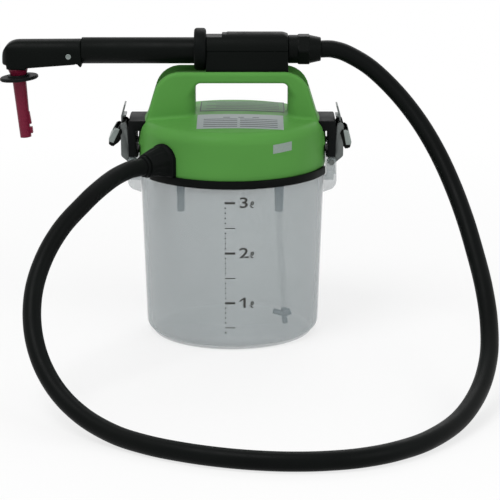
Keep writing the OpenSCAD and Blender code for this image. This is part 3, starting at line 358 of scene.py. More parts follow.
class Mesher:
    """Puts arrays of points and faces into mesh objects."""

    weld = 2e-6

    @staticmethod
    def show(name: str, data: bpy.types.ID) -> bpy.types.Object:
        """Make an object at the origin and put it in the scene.

        Args:
            name: Name of the object.
            data: Its mesh, curve, lamp or camera.

        Returns:
            The object.
        """
        obj = bpy.data.objects.new(name, data)
        bpy.context.scene.collection.objects.link(obj)
        return obj

    @classmethod
    def clean(cls, mesh: bpy.types.Mesh, sharp: float,
              cut: Callable[[bmesh.types.BMesh], None] | None = None) -> None:
        """Merge doubled points, turn the faces outwards and shade the mesh smooth.

        Args:
            mesh: The mesh that is changed.
            sharp: Edges that turn by more than this many degrees stay sharp.
            cut: What else is done to the merged mesh.
        """
        work = bmesh.new()
        work.from_mesh(mesh)
        bmesh.ops.remove_doubles(work, verts=work.verts, dist=cls.weld)
        if cut:
            cut(work)
        bmesh.ops.recalc_face_normals(work, faces=work.faces)
        work.to_mesh(mesh)
        work.free()
        mesh.polygons.foreach_set("use_smooth", np.ones(len(mesh.polygons), bool))
        mesh.set_sharp_from_angle(angle=math.radians(sharp))

    @classmethod
    def build(cls, name: str, points: Array, faces: Array | list, sharp: float = 50.0) -> bpy.types.Object:
        """Make an object from points in millimetres.

        Args:
            name: Name of the piece.
            points: Array of n by 3 coordinates in millimetres.
            faces: Corner indices, as an array or as lists of 3 and of 4.
            sharp: Edges that turn by more than this many degrees stay sharp.

        Returns:
            The object, at the origin.
        """
        mesh = bpy.data.meshes.new(name)
        corners = faces if isinstance(faces, list) else faces.tolist()
        mesh.from_pydata((np.asarray(points, float) * MM).tolist(), [], corners)
        cls.clean(mesh, sharp)
        return cls.show(name, mesh)

    @staticmethod
    def grid_faces(rows: int, cols: int, wrap_rows: bool = False, wrap_cols: bool = False) -> Array:
        """Join a grid of points, stored row by row, into quads.

        Args:
            rows: Number of rows.
            cols: Points in a row.
            wrap_rows: Whether the last row joins the first.
            wrap_cols: Whether each row's last point joins its first.

        Returns:
            Array of n by 4 indices.
        """
        r = np.arange(rows if wrap_rows else rows - 1)[:, None]
        c = np.arange(cols if wrap_cols else cols - 1)[None, :]
        r2, c2 = (r + 1) % rows, (c + 1) % cols
        quads = [r * cols + c, r * cols + c2, r2 * cols + c2, r2 * cols + c]
        return np.stack([np.broadcast_to(q, (r.size, c.size)).ravel() for q in quads], axis=1)

    @classmethod
    def revolve(cls, name: str, loop: Array, sides: int = 160, place: Placing | None = None,
                sharp: float = 50.0) -> bpy.types.Object:
        """Turn a closed loop of radius and height about the upright axis.

        The point for the angle a and the loop's point (r, z) is (r cos a, r sin a, z).

        Args:
            name: Name of the piece.
            loop: Array of n by 2, radius and height.
            sides: Points round the axis.
            place: Where the turned form goes, if it isn't upright about the origin.
            sharp: Edges that turn by more than this many degrees stay sharp.

        Returns:
            The object.
        """
        angle = np.linspace(0, 2 * np.pi, sides, endpoint=False)[:, None]
        r, z = loop[None, :, 0], loop[None, :, 1]
        points = np.stack([r * np.cos(angle), r * np.sin(angle), z + 0 * angle], axis=-1).reshape(-1, 3)
        faces = cls.grid_faces(sides, len(loop), True, True)
        return cls.build(name, place(points) if place else points, faces, sharp)

    @classmethod
    def plate(cls, name: str, top: Array, down: Array, sharp: float = 40.0) -> bpy.types.Object:
        """Close a thin plate between a grid of points and the same grid moved by down.

        Args:
            name: Name of the piece.
            top: Array of rows by columns by 3.
            down: Array of the same shape, or one vector.
            sharp: Edges that turn by more than this many degrees stay sharp.

        Returns:
            The object.
        """
        rows, cols = top.shape[:2]
        points = np.concatenate([top.reshape(-1, 3), (top + down).reshape(-1, 3)])
        face = cls.grid_faces(rows, cols)
        rim = np.concatenate([
            np.arange(cols), np.arange(1, rows) * cols + cols - 1,
            (rows - 1) * cols + np.arange(cols - 2, -1, -1), np.arange(rows - 2, 0, -1) * cols,
        ])
        other = np.roll(rim, -1)
        under = rows * cols
        side = np.stack([rim, rim + under, other + under, other], axis=1)
        return cls.build(name, points, np.concatenate([face, face[:, ::-1] + under, side]), sharp)


@dataclass
class FieldMesher:
    """Turns a distance field into a closed mesh by surface nets.

    Each cell of the grid that the surface crosses gets one point, the mean of the crossings on its
    edges, which is then moved onto the surface along the field's gradient. Each grid edge with a
    change of sign gives a quad between the four cells round it.
    """

    low: tuple[float, float, float]
    high: tuple[float, float, float]
    step: float
    sharp: float = 60.0
    rounds: int = 3

    def arrays(self, distance: DistanceField) -> tuple[Array, Array]:
        """Work out the surface where the distance is zero.

        Args:
            distance: The field, in millimetres.

        Returns:
            The points, and the quads as four indices each.
        """
        axes = [np.arange(a, b + self.step, self.step) for a, b in zip(self.low, self.high)]
        value = distance(*np.meshgrid(*axes, indexing="ij"))
        inside = value < 0
        count = np.zeros(tuple(n - 1 for n in inside.shape), np.int8)
        corners = [(i, j, k) for i in (0, 1) for j in (0, 1) for k in (0, 1)]
        for i, j, k in corners:
            count += inside[i:count.shape[0] + i, j:count.shape[1] + j, k:count.shape[2] + k]
        crossed = (count > 0) & (count < 8)
        cells = np.argwhere(crossed)
        index = np.full(count.shape, -1, np.int64)
        index[crossed] = np.arange(len(cells))
        total, hits = np.zeros((len(cells), 3)), np.zeros(len(cells))
        for a in corners:
            for axis in range(3):
                if a[axis]:
                    continue
                b = tuple(a[n] + (n == axis) for n in range(3))
                va, vb = (value[tuple((cells + c).T)] for c in (a, b))
                cut = (va < 0) != (vb < 0)
                share = va[cut] / (va[cut] - vb[cut])
                total[cut] += cells[cut] + np.array(a) + share[:, None] * np.eye(3)[axis]
                hits[cut] += 1
        points = total / hits[:, None] * self.step + np.array(self.low)
        return self.settle(points, distance), self.quads(inside, index)

    def settle(self, points: Array, distance: DistanceField) -> Array:
        """Move the points onto the surface: each step is the distance against the gradient.

        Args:
            points: Array of n by 3, within a cell of the surface.
            distance: The field, in millimetres.

        Returns:
            The moved points, none by more than a little over half a cell each way.
        """
        start, reach = points.copy(), 0.02
        for _ in range(self.rounds):
            here = distance(*points.T)
            slope = np.stack([
                (distance(*(points + reach * e).T) - distance(*(points - reach * e).T)) / (2 * reach)
                for e in np.eye(3)
            ], axis=1)
            size = np.maximum((slope**2).sum(1), 0.05)
            points = points - (here / size)[:, None] * slope
            points = np.clip(points, start - 0.6 * self.step, start + 0.6 * self.step)
        return points

    @staticmethod
    def quads(inside: Array, index: Array) -> Array:
        """Make a quad for each grid edge whose two ends lie on different sides.

        Args:
            inside: For each grid point, whether it is inside.
            index: For each cell, the number of its point.

        Returns:
            Array of n by 4 indices.
        """
        faces = []
        for axis in range(3):
            u, v = (axis + 1) % 3, (axis + 2) % 3
            low = [slice(1, -1)] * 3
            high = [slice(1, -1)] * 3
            low[axis], high[axis] = slice(0, -1), slice(1, None)
            first, second = inside[tuple(low)], inside[tuple(high)]
            edge = np.argwhere(first != second)
            edge[:, u] += 1
            edge[:, v] += 1
            shift = np.zeros((4, 3), int)
            shift[[0, 3], u] = shift[[0, 1], v] = -1
            quad = np.stack([index[tuple((edge + b).T)] for b in shift], axis=1)
            turned = ~first[first != second]
            quad[turned] = quad[turned][:, ::-1]
            faces.append(quad)
        return np.concatenate(faces)

    def build(self, name: str, distance: DistanceField, place: Placing | None = None) -> bpy.types.Object:
        """Mesh the field and make it an object, through place where it is given."""
        points, faces = self.arrays(distance)
        return Mesher.build(name, place(points) if place else points, faces, self.sharp)


class Shape:
    """Distance fields and outlines, in millimetres."""

    @staticmethod
    def arc(x: float, y: float, r: float, start: float, end: float, n: int = 8) -> Outline:
        """Points of an arc about (x, y), with angles in degrees."""
        angle = np.radians(np.linspace(start, end, n + 1))
        return list(zip(x + r * np.cos(angle), y + r * np.sin(angle)))

    @staticmethod
    def polygon(x: Array, y: Array, outline: Outline) -> Array:
        """Signed distance to a polygon: the least distance to an edge, below zero inside.

        Args:
            x: First coordinates.
            y: Second coordinates.
            outline: The polygon's corners in order.

        Returns:
            The distances.
        """
        corners = np.asarray(outline, float)
        best = np.full(np.shape(x), np.inf)
        inside = np.zeros(np.shape(x), bool)
        for (ax, ay), (bx, by) in zip(corners, np.roll(corners, -1, axis=0)):
            ex, ey = bx - ax, by - ay
            share = np.clip(((x - ax) * ex + (y - ay) * ey) / max(ex * ex + ey * ey, 1e-12), 0, 1)
            best = np.minimum(best, (x - ax - share * ex) ** 2 + (y - ay - share * ey) ** 2)
            if ay != by:
                inside ^= ((ay > y) != (by > y)) & (x < ex * (y - ay) / ey + ax)
        return np.where(inside, -1.0, 1.0) * np.sqrt(best)

    @staticmethod
    def join(a: Array, b: Array, k: float) -> Array:
        """Smooth union: the lower field, less a fillet of about the radius k where they are close."""
        h = np.maximum(k - np.abs(a - b), 0) / k
        return np.minimum(a, b) - h * h * k / 4

    @classmethod
    def keep(cls, a: Array, b: Array, k: float) -> Array:
        """Smooth intersection of two fields."""
        return -cls.join(-a, -b, k)

    @staticmethod
    def prism(flat: Array, depth: Array, half: float, r: Array | float) -> Array:
        """Give a flat field a depth of half each way, with edges of the radius r."""
        w, h = flat + r, np.abs(depth) - half + r
        return np.minimum(np.maximum(w, h), 0) + np.hypot(np.maximum(w, 0), np.maximum(h, 0)) - r


class SoftEdges:
    """Copies a rigid node and breaks its sharp edges, as plating or moulding does."""

    flat = 0.6
    sharp = 38.0

    def __init__(self, nodes: dict[str, bpy.types.Object]) -> None:
        """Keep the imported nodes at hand."""
        self.nodes = nodes

    def copy(self, node: str, width: float, segments: int = 2, limit: float = 28.0) -> bpy.types.Object:
        """Make a piece from a node, with rounded edges of the width in millimetres.

        Args:
            node: Name of the node.
            width: Width of the rounding.
            segments: Steps across it.
            limit: Least angle in degrees of an edge that is rounded.

        Returns:
            The new piece, which stands for the node.
        """
        mesh = self.nodes[node].data.copy()
        mesh.name = name = node + "_finished"
        flat, turn = math.radians(self.flat), math.radians(limit)

        def soften(work: bmesh.types.BMesh) -> None:
            """Join flat faces into one and round the edges between the rest.

            Args:
                work: The merged mesh, which is changed.
            """
            bmesh.ops.dissolve_limit(work, angle_limit=flat, verts=work.verts, edges=work.edges)
            edges = [e for e in work.edges if len(e.link_faces) == 2 and e.calc_face_angle(0.0) > turn]
            bmesh.ops.bevel(work, geom=edges, offset=width * MM, segments=segments, profile=0.5, affect="EDGES",
                            clamp_overlap=True)

        Mesher.clean(mesh, self.sharp, soften)
        mesh.materials.clear()
        obj = Mesher.show(name, mesh)
        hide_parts(node)
        return obj


# ------------------------------------------------------------------ sub-assemblies


@dataclass
class Workshop:
    """What every sub-assembly needs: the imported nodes, the finishes and the edge breaker."""

    frame: dict
    wardrobe: Wardrobe = field(default_factory=Wardrobe)

    def __post_init__(self) -> None:
        """Make the edge breaker for these nodes."""
        self.soft = SoftEdges(self.frame["nodes"])

    def add(self, obj: bpy.types.Object, body: str, finish: Finish, *nodes: str) -> bpy.types.Object:
        """Dress a piece, let it ride on a body and let it stand for nodes.

        Args:
            obj: The new piece.
            body: Body that carries it.
            finish: Its finish.
            nodes: Nodes that it replaces.

        Returns:
            The piece.
        """
        self.wardrobe.dress(obj, finish)
        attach(obj, body)
        if nodes:
            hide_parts(*nodes)
        log.info("%s rides on %s with %d faces", obj.name, body, len(obj.data.polygons))
        return obj

    def soften(self, node: str, body: str, finish: Finish, width: float = 0.35) -> bpy.types.Object:
        """Replace a node by its copy with broken edges."""
        return self.add(self.soft.copy(node, width), body, finish)

    def finish_nodes(self, names: Iterable[str], finish: Finish) -> None:
        """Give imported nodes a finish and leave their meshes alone."""
        for name in names:
            self.wardrobe.dress(self.frame["nodes"][name], finish)


@dataclass
class Hose:
    """The thick hose from the head's boot to the gun's nut."""

    radius: float = 8.0
    steps: int = 14
    sides: int = 36
    lay_normal: tuple[float, float, float] = (0.0, 0.86, -0.5)
    lies_from: tuple[float, float, float] = (0.0406, -0.3, 0.0325)
    lifts_from: tuple[float, float, float] = (0.1562, -0.3, 0.1249)
    route: tuple[tuple[float, float, float], ...] = (
        (-81, -81, 175), (-85.6, -85.6, 175), (-93, -93.7, 174.6), (-104.5, -108.3, 171.5), (-117, -127, 165.2),
        (-129, -146, 157), (-147, -171, 141), (-160.5, -194, 120.5), (-168, -217, 97),
        (-167.5, -240, 72.5), (-159, -264, 50), (-143, -288, 31), (-121, -311, 17.5), (-94, -334, 10),
        (-66, -354.5, 8.25), (-37, -371, 8.25), (-8, -382.5, 8.25), (20, -389.5, 8.25), (48, -392.5, 8.25),
        (76, -391, 8.25), (105, -384, 8.25), (134, -368.5, 8.25), (162.5, -342, 8.45), (189.5, -303, 11.5),
        (210, -259, 21.5), (222, -218, 38), (225.5, -182, 59), (223.5, -151, 82.5), (218, -122, 106.5),
        (210.5, -98, 132), (200.5, -75, 158), (188, -54, 183.5), (172, -36, 208.5), (152, -20, 232),
        (129, -8, 252.5), (108, -2, 264.5), (94, -0.2, 268.8), (82.8, 0, 269),
    )

    def line(self) -> Array:
        """Return the points of the centreline, a Catmull-Rom curve through the route.

        Between the route's points b and c, with a before and d after, the point at the share t is
        half of 2b + (c - a) t + (2a - 5b + 4c - d) t^2 + (3b - a - 3c + d) t^3.

        Returns:
            Array of n by 3 in millimetres.
        """
        p = np.array(self.route, float)
        before, after = np.concatenate([p[:1], p[:-2]]), np.concatenate([p[2:], p[-1:]])
        a, b, c, d = (q[:, None, :] for q in (before, p[:-1], p[1:], after))
        t = (np.arange(self.steps) / self.steps)[None, :, None]
        bend, rest = 2 * a - 5 * b + 4 * c - d, 3 * b - a - 3 * c + d
        curve = 0.5 * (2 * b + (c - a) * t + bend * t**2 + rest * t**3)
        return np.concatenate([curve.reshape(-1, 3), p[-1:]])

    def build(self, shop: Workshop) -> None:
        """A ring's point is the centre plus the radius times (cos a) side plus (sin a) up, where side is
        the tangent crossed with the normal of the plane that the route stays near.

        Args:
            shop: Nodes, finishes and edge breaker.
        """
        centre = self.line()
        along = np.gradient(centre, axis=0)
        along /= np.linalg.norm(along, axis=1)[:, None]
        side = np.cross(along, np.array(self.lay_normal))
        side /= np.linalg.norm(side, axis=1)[:, None]
        up = np.cross(side, along)
        angle = np.linspace(0, 2 * np.pi, self.sides, endpoint=False)
        ring = np.cos(angle)[None, :, None] * side[:, None, :] + np.sin(angle)[None, :, None] * up[:, None, :]
        shell = (centre[:, None, :] + self.radius * ring).reshape(-1, 3)
        points = np.concatenate([shell, centre[:1], centre[-1:]])
        rows, n = len(centre), self.sides
        around = np.arange(n)
        turn = np.roll(around, -1)
        first = np.stack([turn, around, np.full(n, rows * n)], axis=1)
        last = np.stack([around, turn, np.full(n, rows * n + 1)], axis=1) + [(rows - 1) * n, (rows - 1) * n, 0]
        faces = Mesher.grid_faces(rows, n, False, True).tolist() + first.tolist() + last.tolist()
        obj = Mesher.build("supply_hose", points, faces)
        shop.wardrobe.dress(obj, Finish.HOSE)
        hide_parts("hose")
        tuple(self.lies_from)
        tuple(self.lifts_from)
        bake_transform(obj)


@dataclass
class Tank:
    """The translucent tank with its lugs, litre marks and what shows through its wall."""

    height: float = 158.5
    radius: float = 81.2
    draft: float = 0.033
    rim_wall: float = 2.2
    wall: float = 1.1
    floor: float = 2.6
    foot_r: float = 75.5
    foot_h: float = 2.6
    corner_r: float = 8.0
    litre: float = 47.75
    top_mark: float = 142.4
    bar_x: tuple[float, float] = (-6.3, 3.2)
    bar_h: tuple[float, float] = (2.0, 0.75)
    dot_x: tuple[float, float] = (-6.4, -5.1)
    dot_h: float = 1.15
    flag_x: tuple[float, float] = (7.2, 10.7)
    flag_h: float = 1.5
    flag_lift: float = 1.85
    flag_rise: float = 2.2
    bold: float = 0.12
    digit_size: float = 13.9
    digit_wide: float = 1.38
    digit_drop: float = 0.3
    digit_x: tuple[float, float, float] = (6.9, 6.4, 6.4)
    sign_size: float = 8.0
    sign_wide: float = 1.3
    sign_drop: float = 2.4
    sign_x: float = 16.4
    ink: tuple[float, float] = (0.06, -0.05)
    lug_x: tuple[float, float] = (81.0, 97.4)
    lug_z: tuple[float, float] = (139.0, 153.5)
    lug_half: float = 22.0
    ear: float = 5.0
    pin: tuple[float, float] = (92.8, 166.0)
    pin_r: float = 1.6

    def outer(self, z: Array | float) -> Array | float:
        """Radius of the outer wall at a height: it grows by the draft."""
        return self.radius + self.draft * z

    def loop(self) -> Array:
        """Close the profile: foot, corner, wall, thickened rim, inner wall, inner corner and floor.

        Returns:
            Array of n by 2, radius and height.
        """
        cz = self.foot_h + self.corner_r
        cx = float(self.outer(cz)) - self.corner_r
        inner_r = self.corner_r - 1
        iz = self.floor + inner_r
        ix = float(self.outer(iz)) - self.wall - inner_r
        rim = float(self.outer(self.height))
        foot = [(0.0, 0.5), (self.foot_r - 3, 0.5), (self.foot_r - 2.2, 0.0), (self.foot_r - 0.5, 0.0),
                (self.foot_r, 0.5), (self.foot_r, self.foot_h)]
        wall = [(float(self.outer(z)), z) for z in np.linspace(cz + 6, self.height - 0.7, 12)]
        inside = rim - self.rim_wall
        lip = [(rim - 0.2, self.height - 0.2), (rim - 0.7, self.height), (inside + 0.7, self.height),
               (inside + 0.1, self.height - 0.5), (inside, self.height - 7)]
        inner = [(float(self.outer(z)) - self.wall, z) for z in np.linspace(self.height - 14, iz + 4, 12)]
        return np.array(foot + Shape.arc(cx, cz, self.corner_r, -60, 0, 10) + wall + lip + inner
                        + Shape.arc(ix, iz, inner_r, 0, -90, 10) + [(0.0, self.floor)])

    def lug(self, x: Array, y: Array, z: Array) -> Array:
        """Field of one lug on the +X side: a hollow block with an ear at each end, bored for the pin.

        Args:
            x: Places along X, in millimetres.
            y: Places along Y.
            z: Heights.

        Returns:
            The distance at each point, below zero inside.
        """
        (back, out), (low, top), (pin_x, pin_z) = self.lug_x, self.lug_z, self.pin
        bend = 9.0
        block = Shape.polygon(x, z, [(back, low - 3)] + Shape.arc(out - bend, low + bend, bend, -62, 0)
                              + [(out, top), (back, top)])
        ears = Shape.polygon(x, z, [(pin_x - 4.6, low + bend), (out, low + bend)]
                             + Shape.arc(pin_x, pin_z, 4.6, 0, 180, 14))
        tabs = Shape.prism(ears, np.abs(y) - (self.lug_half - self.ear / 2), self.ear / 2, 0.8)
        body = Shape.join(Shape.prism(block, y, self.lug_half, 1.0), tabs, 0.8)
        inside = [(back, 148), (95, 148), (95, 180), (back, 180)]
        pocket = Shape.prism(Shape.polygon(x, z, inside), y, self.lug_half - self.ear, 0.5)
        hole = np.hypot(x - pin_x, z - pin_z) - self.pin_r
        wall = np.hypot(x, y) - self.outer(z) - 0.02
        return np.maximum.reduce([body, -pocket, -hole, -wall])

    def on_wall(self, x: Array, z: Array, lift: float) -> Array:
        """Wrap flat points onto the front of the wall.

        The angle is x over the radius r, and the point is (r sin angle, -r cos angle, z).

        Args:
            x: Places along the wall.
            z: Heights.
            lift: How far the points stand off the wall.

        Returns:
            The points, with a last axis of 3.
        """
        r = self.outer(z) + lift
        angle = x / r
        return np.stack([r * np.sin(angle), -r * np.cos(angle), z], axis=-1)

    def mark(self, name: str, x: tuple[float, float], z: float, h: float,
             rise: float = 0.0, columns: int = 6) -> bpy.types.Object:
        """Make one printed bar.

        Args:
            name: The piece's name.
            x: Its two ends along the wall.
            z: Height of its middle at the left end.
            h: How thick it is.
            rise: How far it climbs towards the right end.
            columns: Points from end to end.

        Returns:
            The printed piece.
        """
        along, up = np.meshgrid(np.linspace(*x, columns), np.array([-h / 2, h / 2]))
        height = z + up + (along - x[0]) / (x[1] - x[0]) * rise
        top, under = (self.on_wall(along, height, lift) for lift in self.ink)
        return Mesher.plate(name, top, under - top)

    def glyph(self, name: str, text: str, size: float, x: float, z: float,
              wide: float) -> bpy.types.Object:
        """Make a printed sign from a text outline, wrapped onto the wall.

        Args:
            name: The piece's name.
            text: The sign.
            size: Height of the type.
            x: Left edge along the wall.
            z: Height of its middle.
            wide: Stretch along the wall.

        Returns:
            The printed piece.
        """
        curve = bpy.data.curves.new(name, "FONT")
        curve.body, curve.size, curve.align_x, curve.align_y = text, size, "LEFT", "CENTER"
        curve.extrude, curve.resolution_u, curve.offset = 0.05, 4, self.bold
        source = Mesher.show(name + "_outline", curve)
        bpy.context.view_layer.update()
        mesh = bpy.data.meshes.new_from_object(source.evaluated_get(bpy.context.evaluated_depsgraph_get()))
        bpy.data.objects.remove(source)
        flat = np.empty(len(mesh.vertices) * 3)
        mesh.vertices.foreach_get("co", flat)
        flat = flat.reshape(-1, 3)
        placed = self.on_wall(flat[:, 0] * wide + x, flat[:, 1] + z, 0.0)
        out = placed * [1, 1, 0]
        placed += out / np.linalg.norm(out, axis=1)[:, None] * (flat[:, 2:] + 0.02)
        mesh.vertices.foreach_set("co", (placed * MM).ravel())
        mesh.update()
        return Mesher.show(name, mesh)

    def marks(self, shop: Workshop) -> None:
        """Print the scale: a thick bar and a digit at each litre, a thin bar at each half, dots between.

        Args:
            shop: Nodes, finishes and edge breaker.
        """
        flag_z = self.top_mark - 2 * self.litre + self.flag_lift
        pieces = [self.mark("litre_flag_1", self.flag_x, flag_z, self.flag_h, self.flag_rise, 4)]
        for half in range(6):
            z = self.top_mark - half * self.litre / 2
            pieces.append(self.mark(f"litre_bar_{half}", self.bar_x, z, self.bar_h[half % 2]))
            if half % 2 == 0:
                n = 3 - half // 2
                pieces.append(self.glyph(f"litre_digit_{n}", str(n), self.digit_size, self.digit_x[n - 1],
                                         z - self.digit_drop, self.digit_wide))
                pieces.append(self.glyph(f"litre_sign_{n}", "ℓ", self.sign_size, self.sign_x,
                                         z - self.sign_drop, self.sign_wide))
            for tenth in range(1, 5 if half < 5 else 2):
                dot_z = z - tenth * self.litre / 10
                pieces.append(self.mark(f"litre_dot_{half}_{tenth}", self.dot_x, dot_z, self.dot_h))
        for piece in pieces:
            shop.add(piece, "tank", Finish.INK)

    def build(self, shop: Workshop) -> None:
        """Build the tank's shell, lugs and marks, and finish what hangs inside.

        Args:
            shop: Nodes, finishes and edge breaker.
        """
        shop.add(Mesher.revolve("tank_shell", self.loop(), 192, None, 40), "tank", Finish.TANK, "tank")
        field_box = FieldMesher((85, -24, 136), (99, 24, 172.6), 0.7)
        for name, sign in (("tank_lug_right", 1.0), ("tank_lug_left", -1.0)):
            lug = field_box.build(name, self.lug, lambda p, s=sign: p * [s, 1, 1])
            shop.add(lug, "tank", Finish.TANK)
        self.marks(shop)
        for node in ("suction_fitting", "return_fitting", "strainer"):
            shop.soften(node, "head", Finish.BLUE_GREY, 0.3)
        shop.finish_nodes(["suction_tube"], Finish.CLEAR)


class Side(Enum):
    """The two latches."""

    LEFT = "left"
    RIGHT = "right"


@dataclass
class Latch:
    """One toggle latch: steel base, lever with its bright pad, hook and pins."""

    side: Side
    pivot: tuple[float, float] = (100.8, 199.0)
    half: float = 16.2
    sheet: float = 1.0
    face: float = 6.4
    hook_room: tuple[float, float] = (9.9, 12.6)
    cheek_room: tuple[float, float] = (12.6, 3.7)
    cheek_lean: float = 0.115

    @property
    def rest(self) -> float:
        """Angle in degrees that the lever stands open at rest."""
        return 30.0 if self.side is Side.LEFT else 15.0

    def place(self, p: Array) -> Array:
        """Turn points from the lever's own frame, which hangs from its pivot, to the row's frame.

        Args:
            p: Array of n by 3.

        Returns:
            The turned points, mirrored for the left latch.
        """
        c, s = math.cos(math.radians(self.rest)), math.sin(math.radians(self.rest))
        x = p[:, 0] * c - p[:, 2] * s + self.pivot[0]
        z = p[:, 0] * s + p[:, 2] * c + self.pivot[1]
        return np.stack([-x if self.side is Side.LEFT else x, p[:, 1], z], axis=1)

    def passage(self, x: Array, y: Array, z: Array) -> Array:
        """Field of the room that the lever's face leaves: for the hook, and for the base's cheeks when shut.

        Args:
            x: Places outwards from the pivot, in millimetres.
            y: Places along the pivot.
            z: Heights above it.

        Returns:
            The distance at each point, below zero in the room.
        """
        (half, foot), (inner, out) = self.hook_room, self.cheek_room
        hook = np.maximum(np.abs(y) - half, -foot - z)
        strip = np.maximum(inner - np.abs(y), np.abs(y) - self.half + self.sheet)
        return np.minimum(hook, np.maximum(strip, x - out + self.cheek_lean * z))

    def cover(self, x: Array, y: Array, z: Array) -> Array:
        """Field of the lever's outer shell: a face and two skirts that pass outside the base.

        Args:
            x: Places outwards from the pivot, in millimetres.
            y: Places along the pivot.
            z: Heights above it.

        Returns:
            The distance at each point, below zero inside.
        """
        f = self.face
        flat = Shape.polygon(x, z, [(-1.8, -6.4), (0.2, -3.7), (4.4, -3.9), (f - 0.2, -6), (f - 0.2, -17.6),
                                    (f - 2.6, -21.9), (0.6, -22.2), (-1.2, -20)])
        hollow = np.maximum.reduce([x - f + self.sheet + 0.2, np.abs(y) - self.half + self.sheet, -21.4 - z])
        solid = Shape.prism(flat, y, self.half - 0.1, 0.5)
        return np.maximum(solid, -np.minimum(hollow, self.passage(x, y, z)))

    def pad(self, x: Array, y: Array, z: Array) -> Array:
        """Field of the bright plate that wraps the shell's outer edge.

        Args:
            x: Places outwards from the pivot, in millimetres.
            y: Places along the pivot.
            z: Heights above it.

        Returns:
            The distance at each point, below zero inside.
        """
        f = self.face
        flat = Shape.polygon(x, z, [(1.6, -4.4), (4.2, -4.4), (f, -6.4), (f, -17.4), (f - 1.6, -19.6),
                                    (0.6, -18.6)])
        hollow = np.maximum(x - f + self.sheet, np.abs(y) - self.half + self.sheet)
        return np.maximum(Shape.prism(flat, y, self.half, 0.35), -np.minimum(hollow, self.passage(x, y, z)))

    def build(self, shop: Workshop) -> None:
        """Mesh the lever's shell and bright plate, break the edges of the base, lever, hook and keeper, and
        finish every piece of the latch.

        Args:
            shop: Nodes, finishes and edge breaker.
        """
        s = self.side.value
        lever = f"lever_{s}"
        box = FieldMesher((-3, -17, -23.4), (7.4, 17, -2.6), 0.5)
        shop.add(box.build(f"lever_shell_{s}", self.cover, self.place), lever, Finish.BLACK)
        shop.add(box.build(f"lever_plate_{s}", self.pad, self.place), lever, Finish.BRIGHT, f"lever_pad_{s}")
        shop.soften(f"latch_base_{s}", "tank", Finish.STEEL, 0.35)
        shop.soften(f"latch_lever_{s}", lever, Finish.BLACK, 0.4)
        shop.soften(f"latch_hook_{s}", f"hook_{s}", Finish.STEEL, 0.3)
        shop.soften(f"latch_keeper_{s}", "head", Finish.DARK, 0.6)
        shop.finish_nodes([f"hook_pin_{s}"], Finish.STEEL)


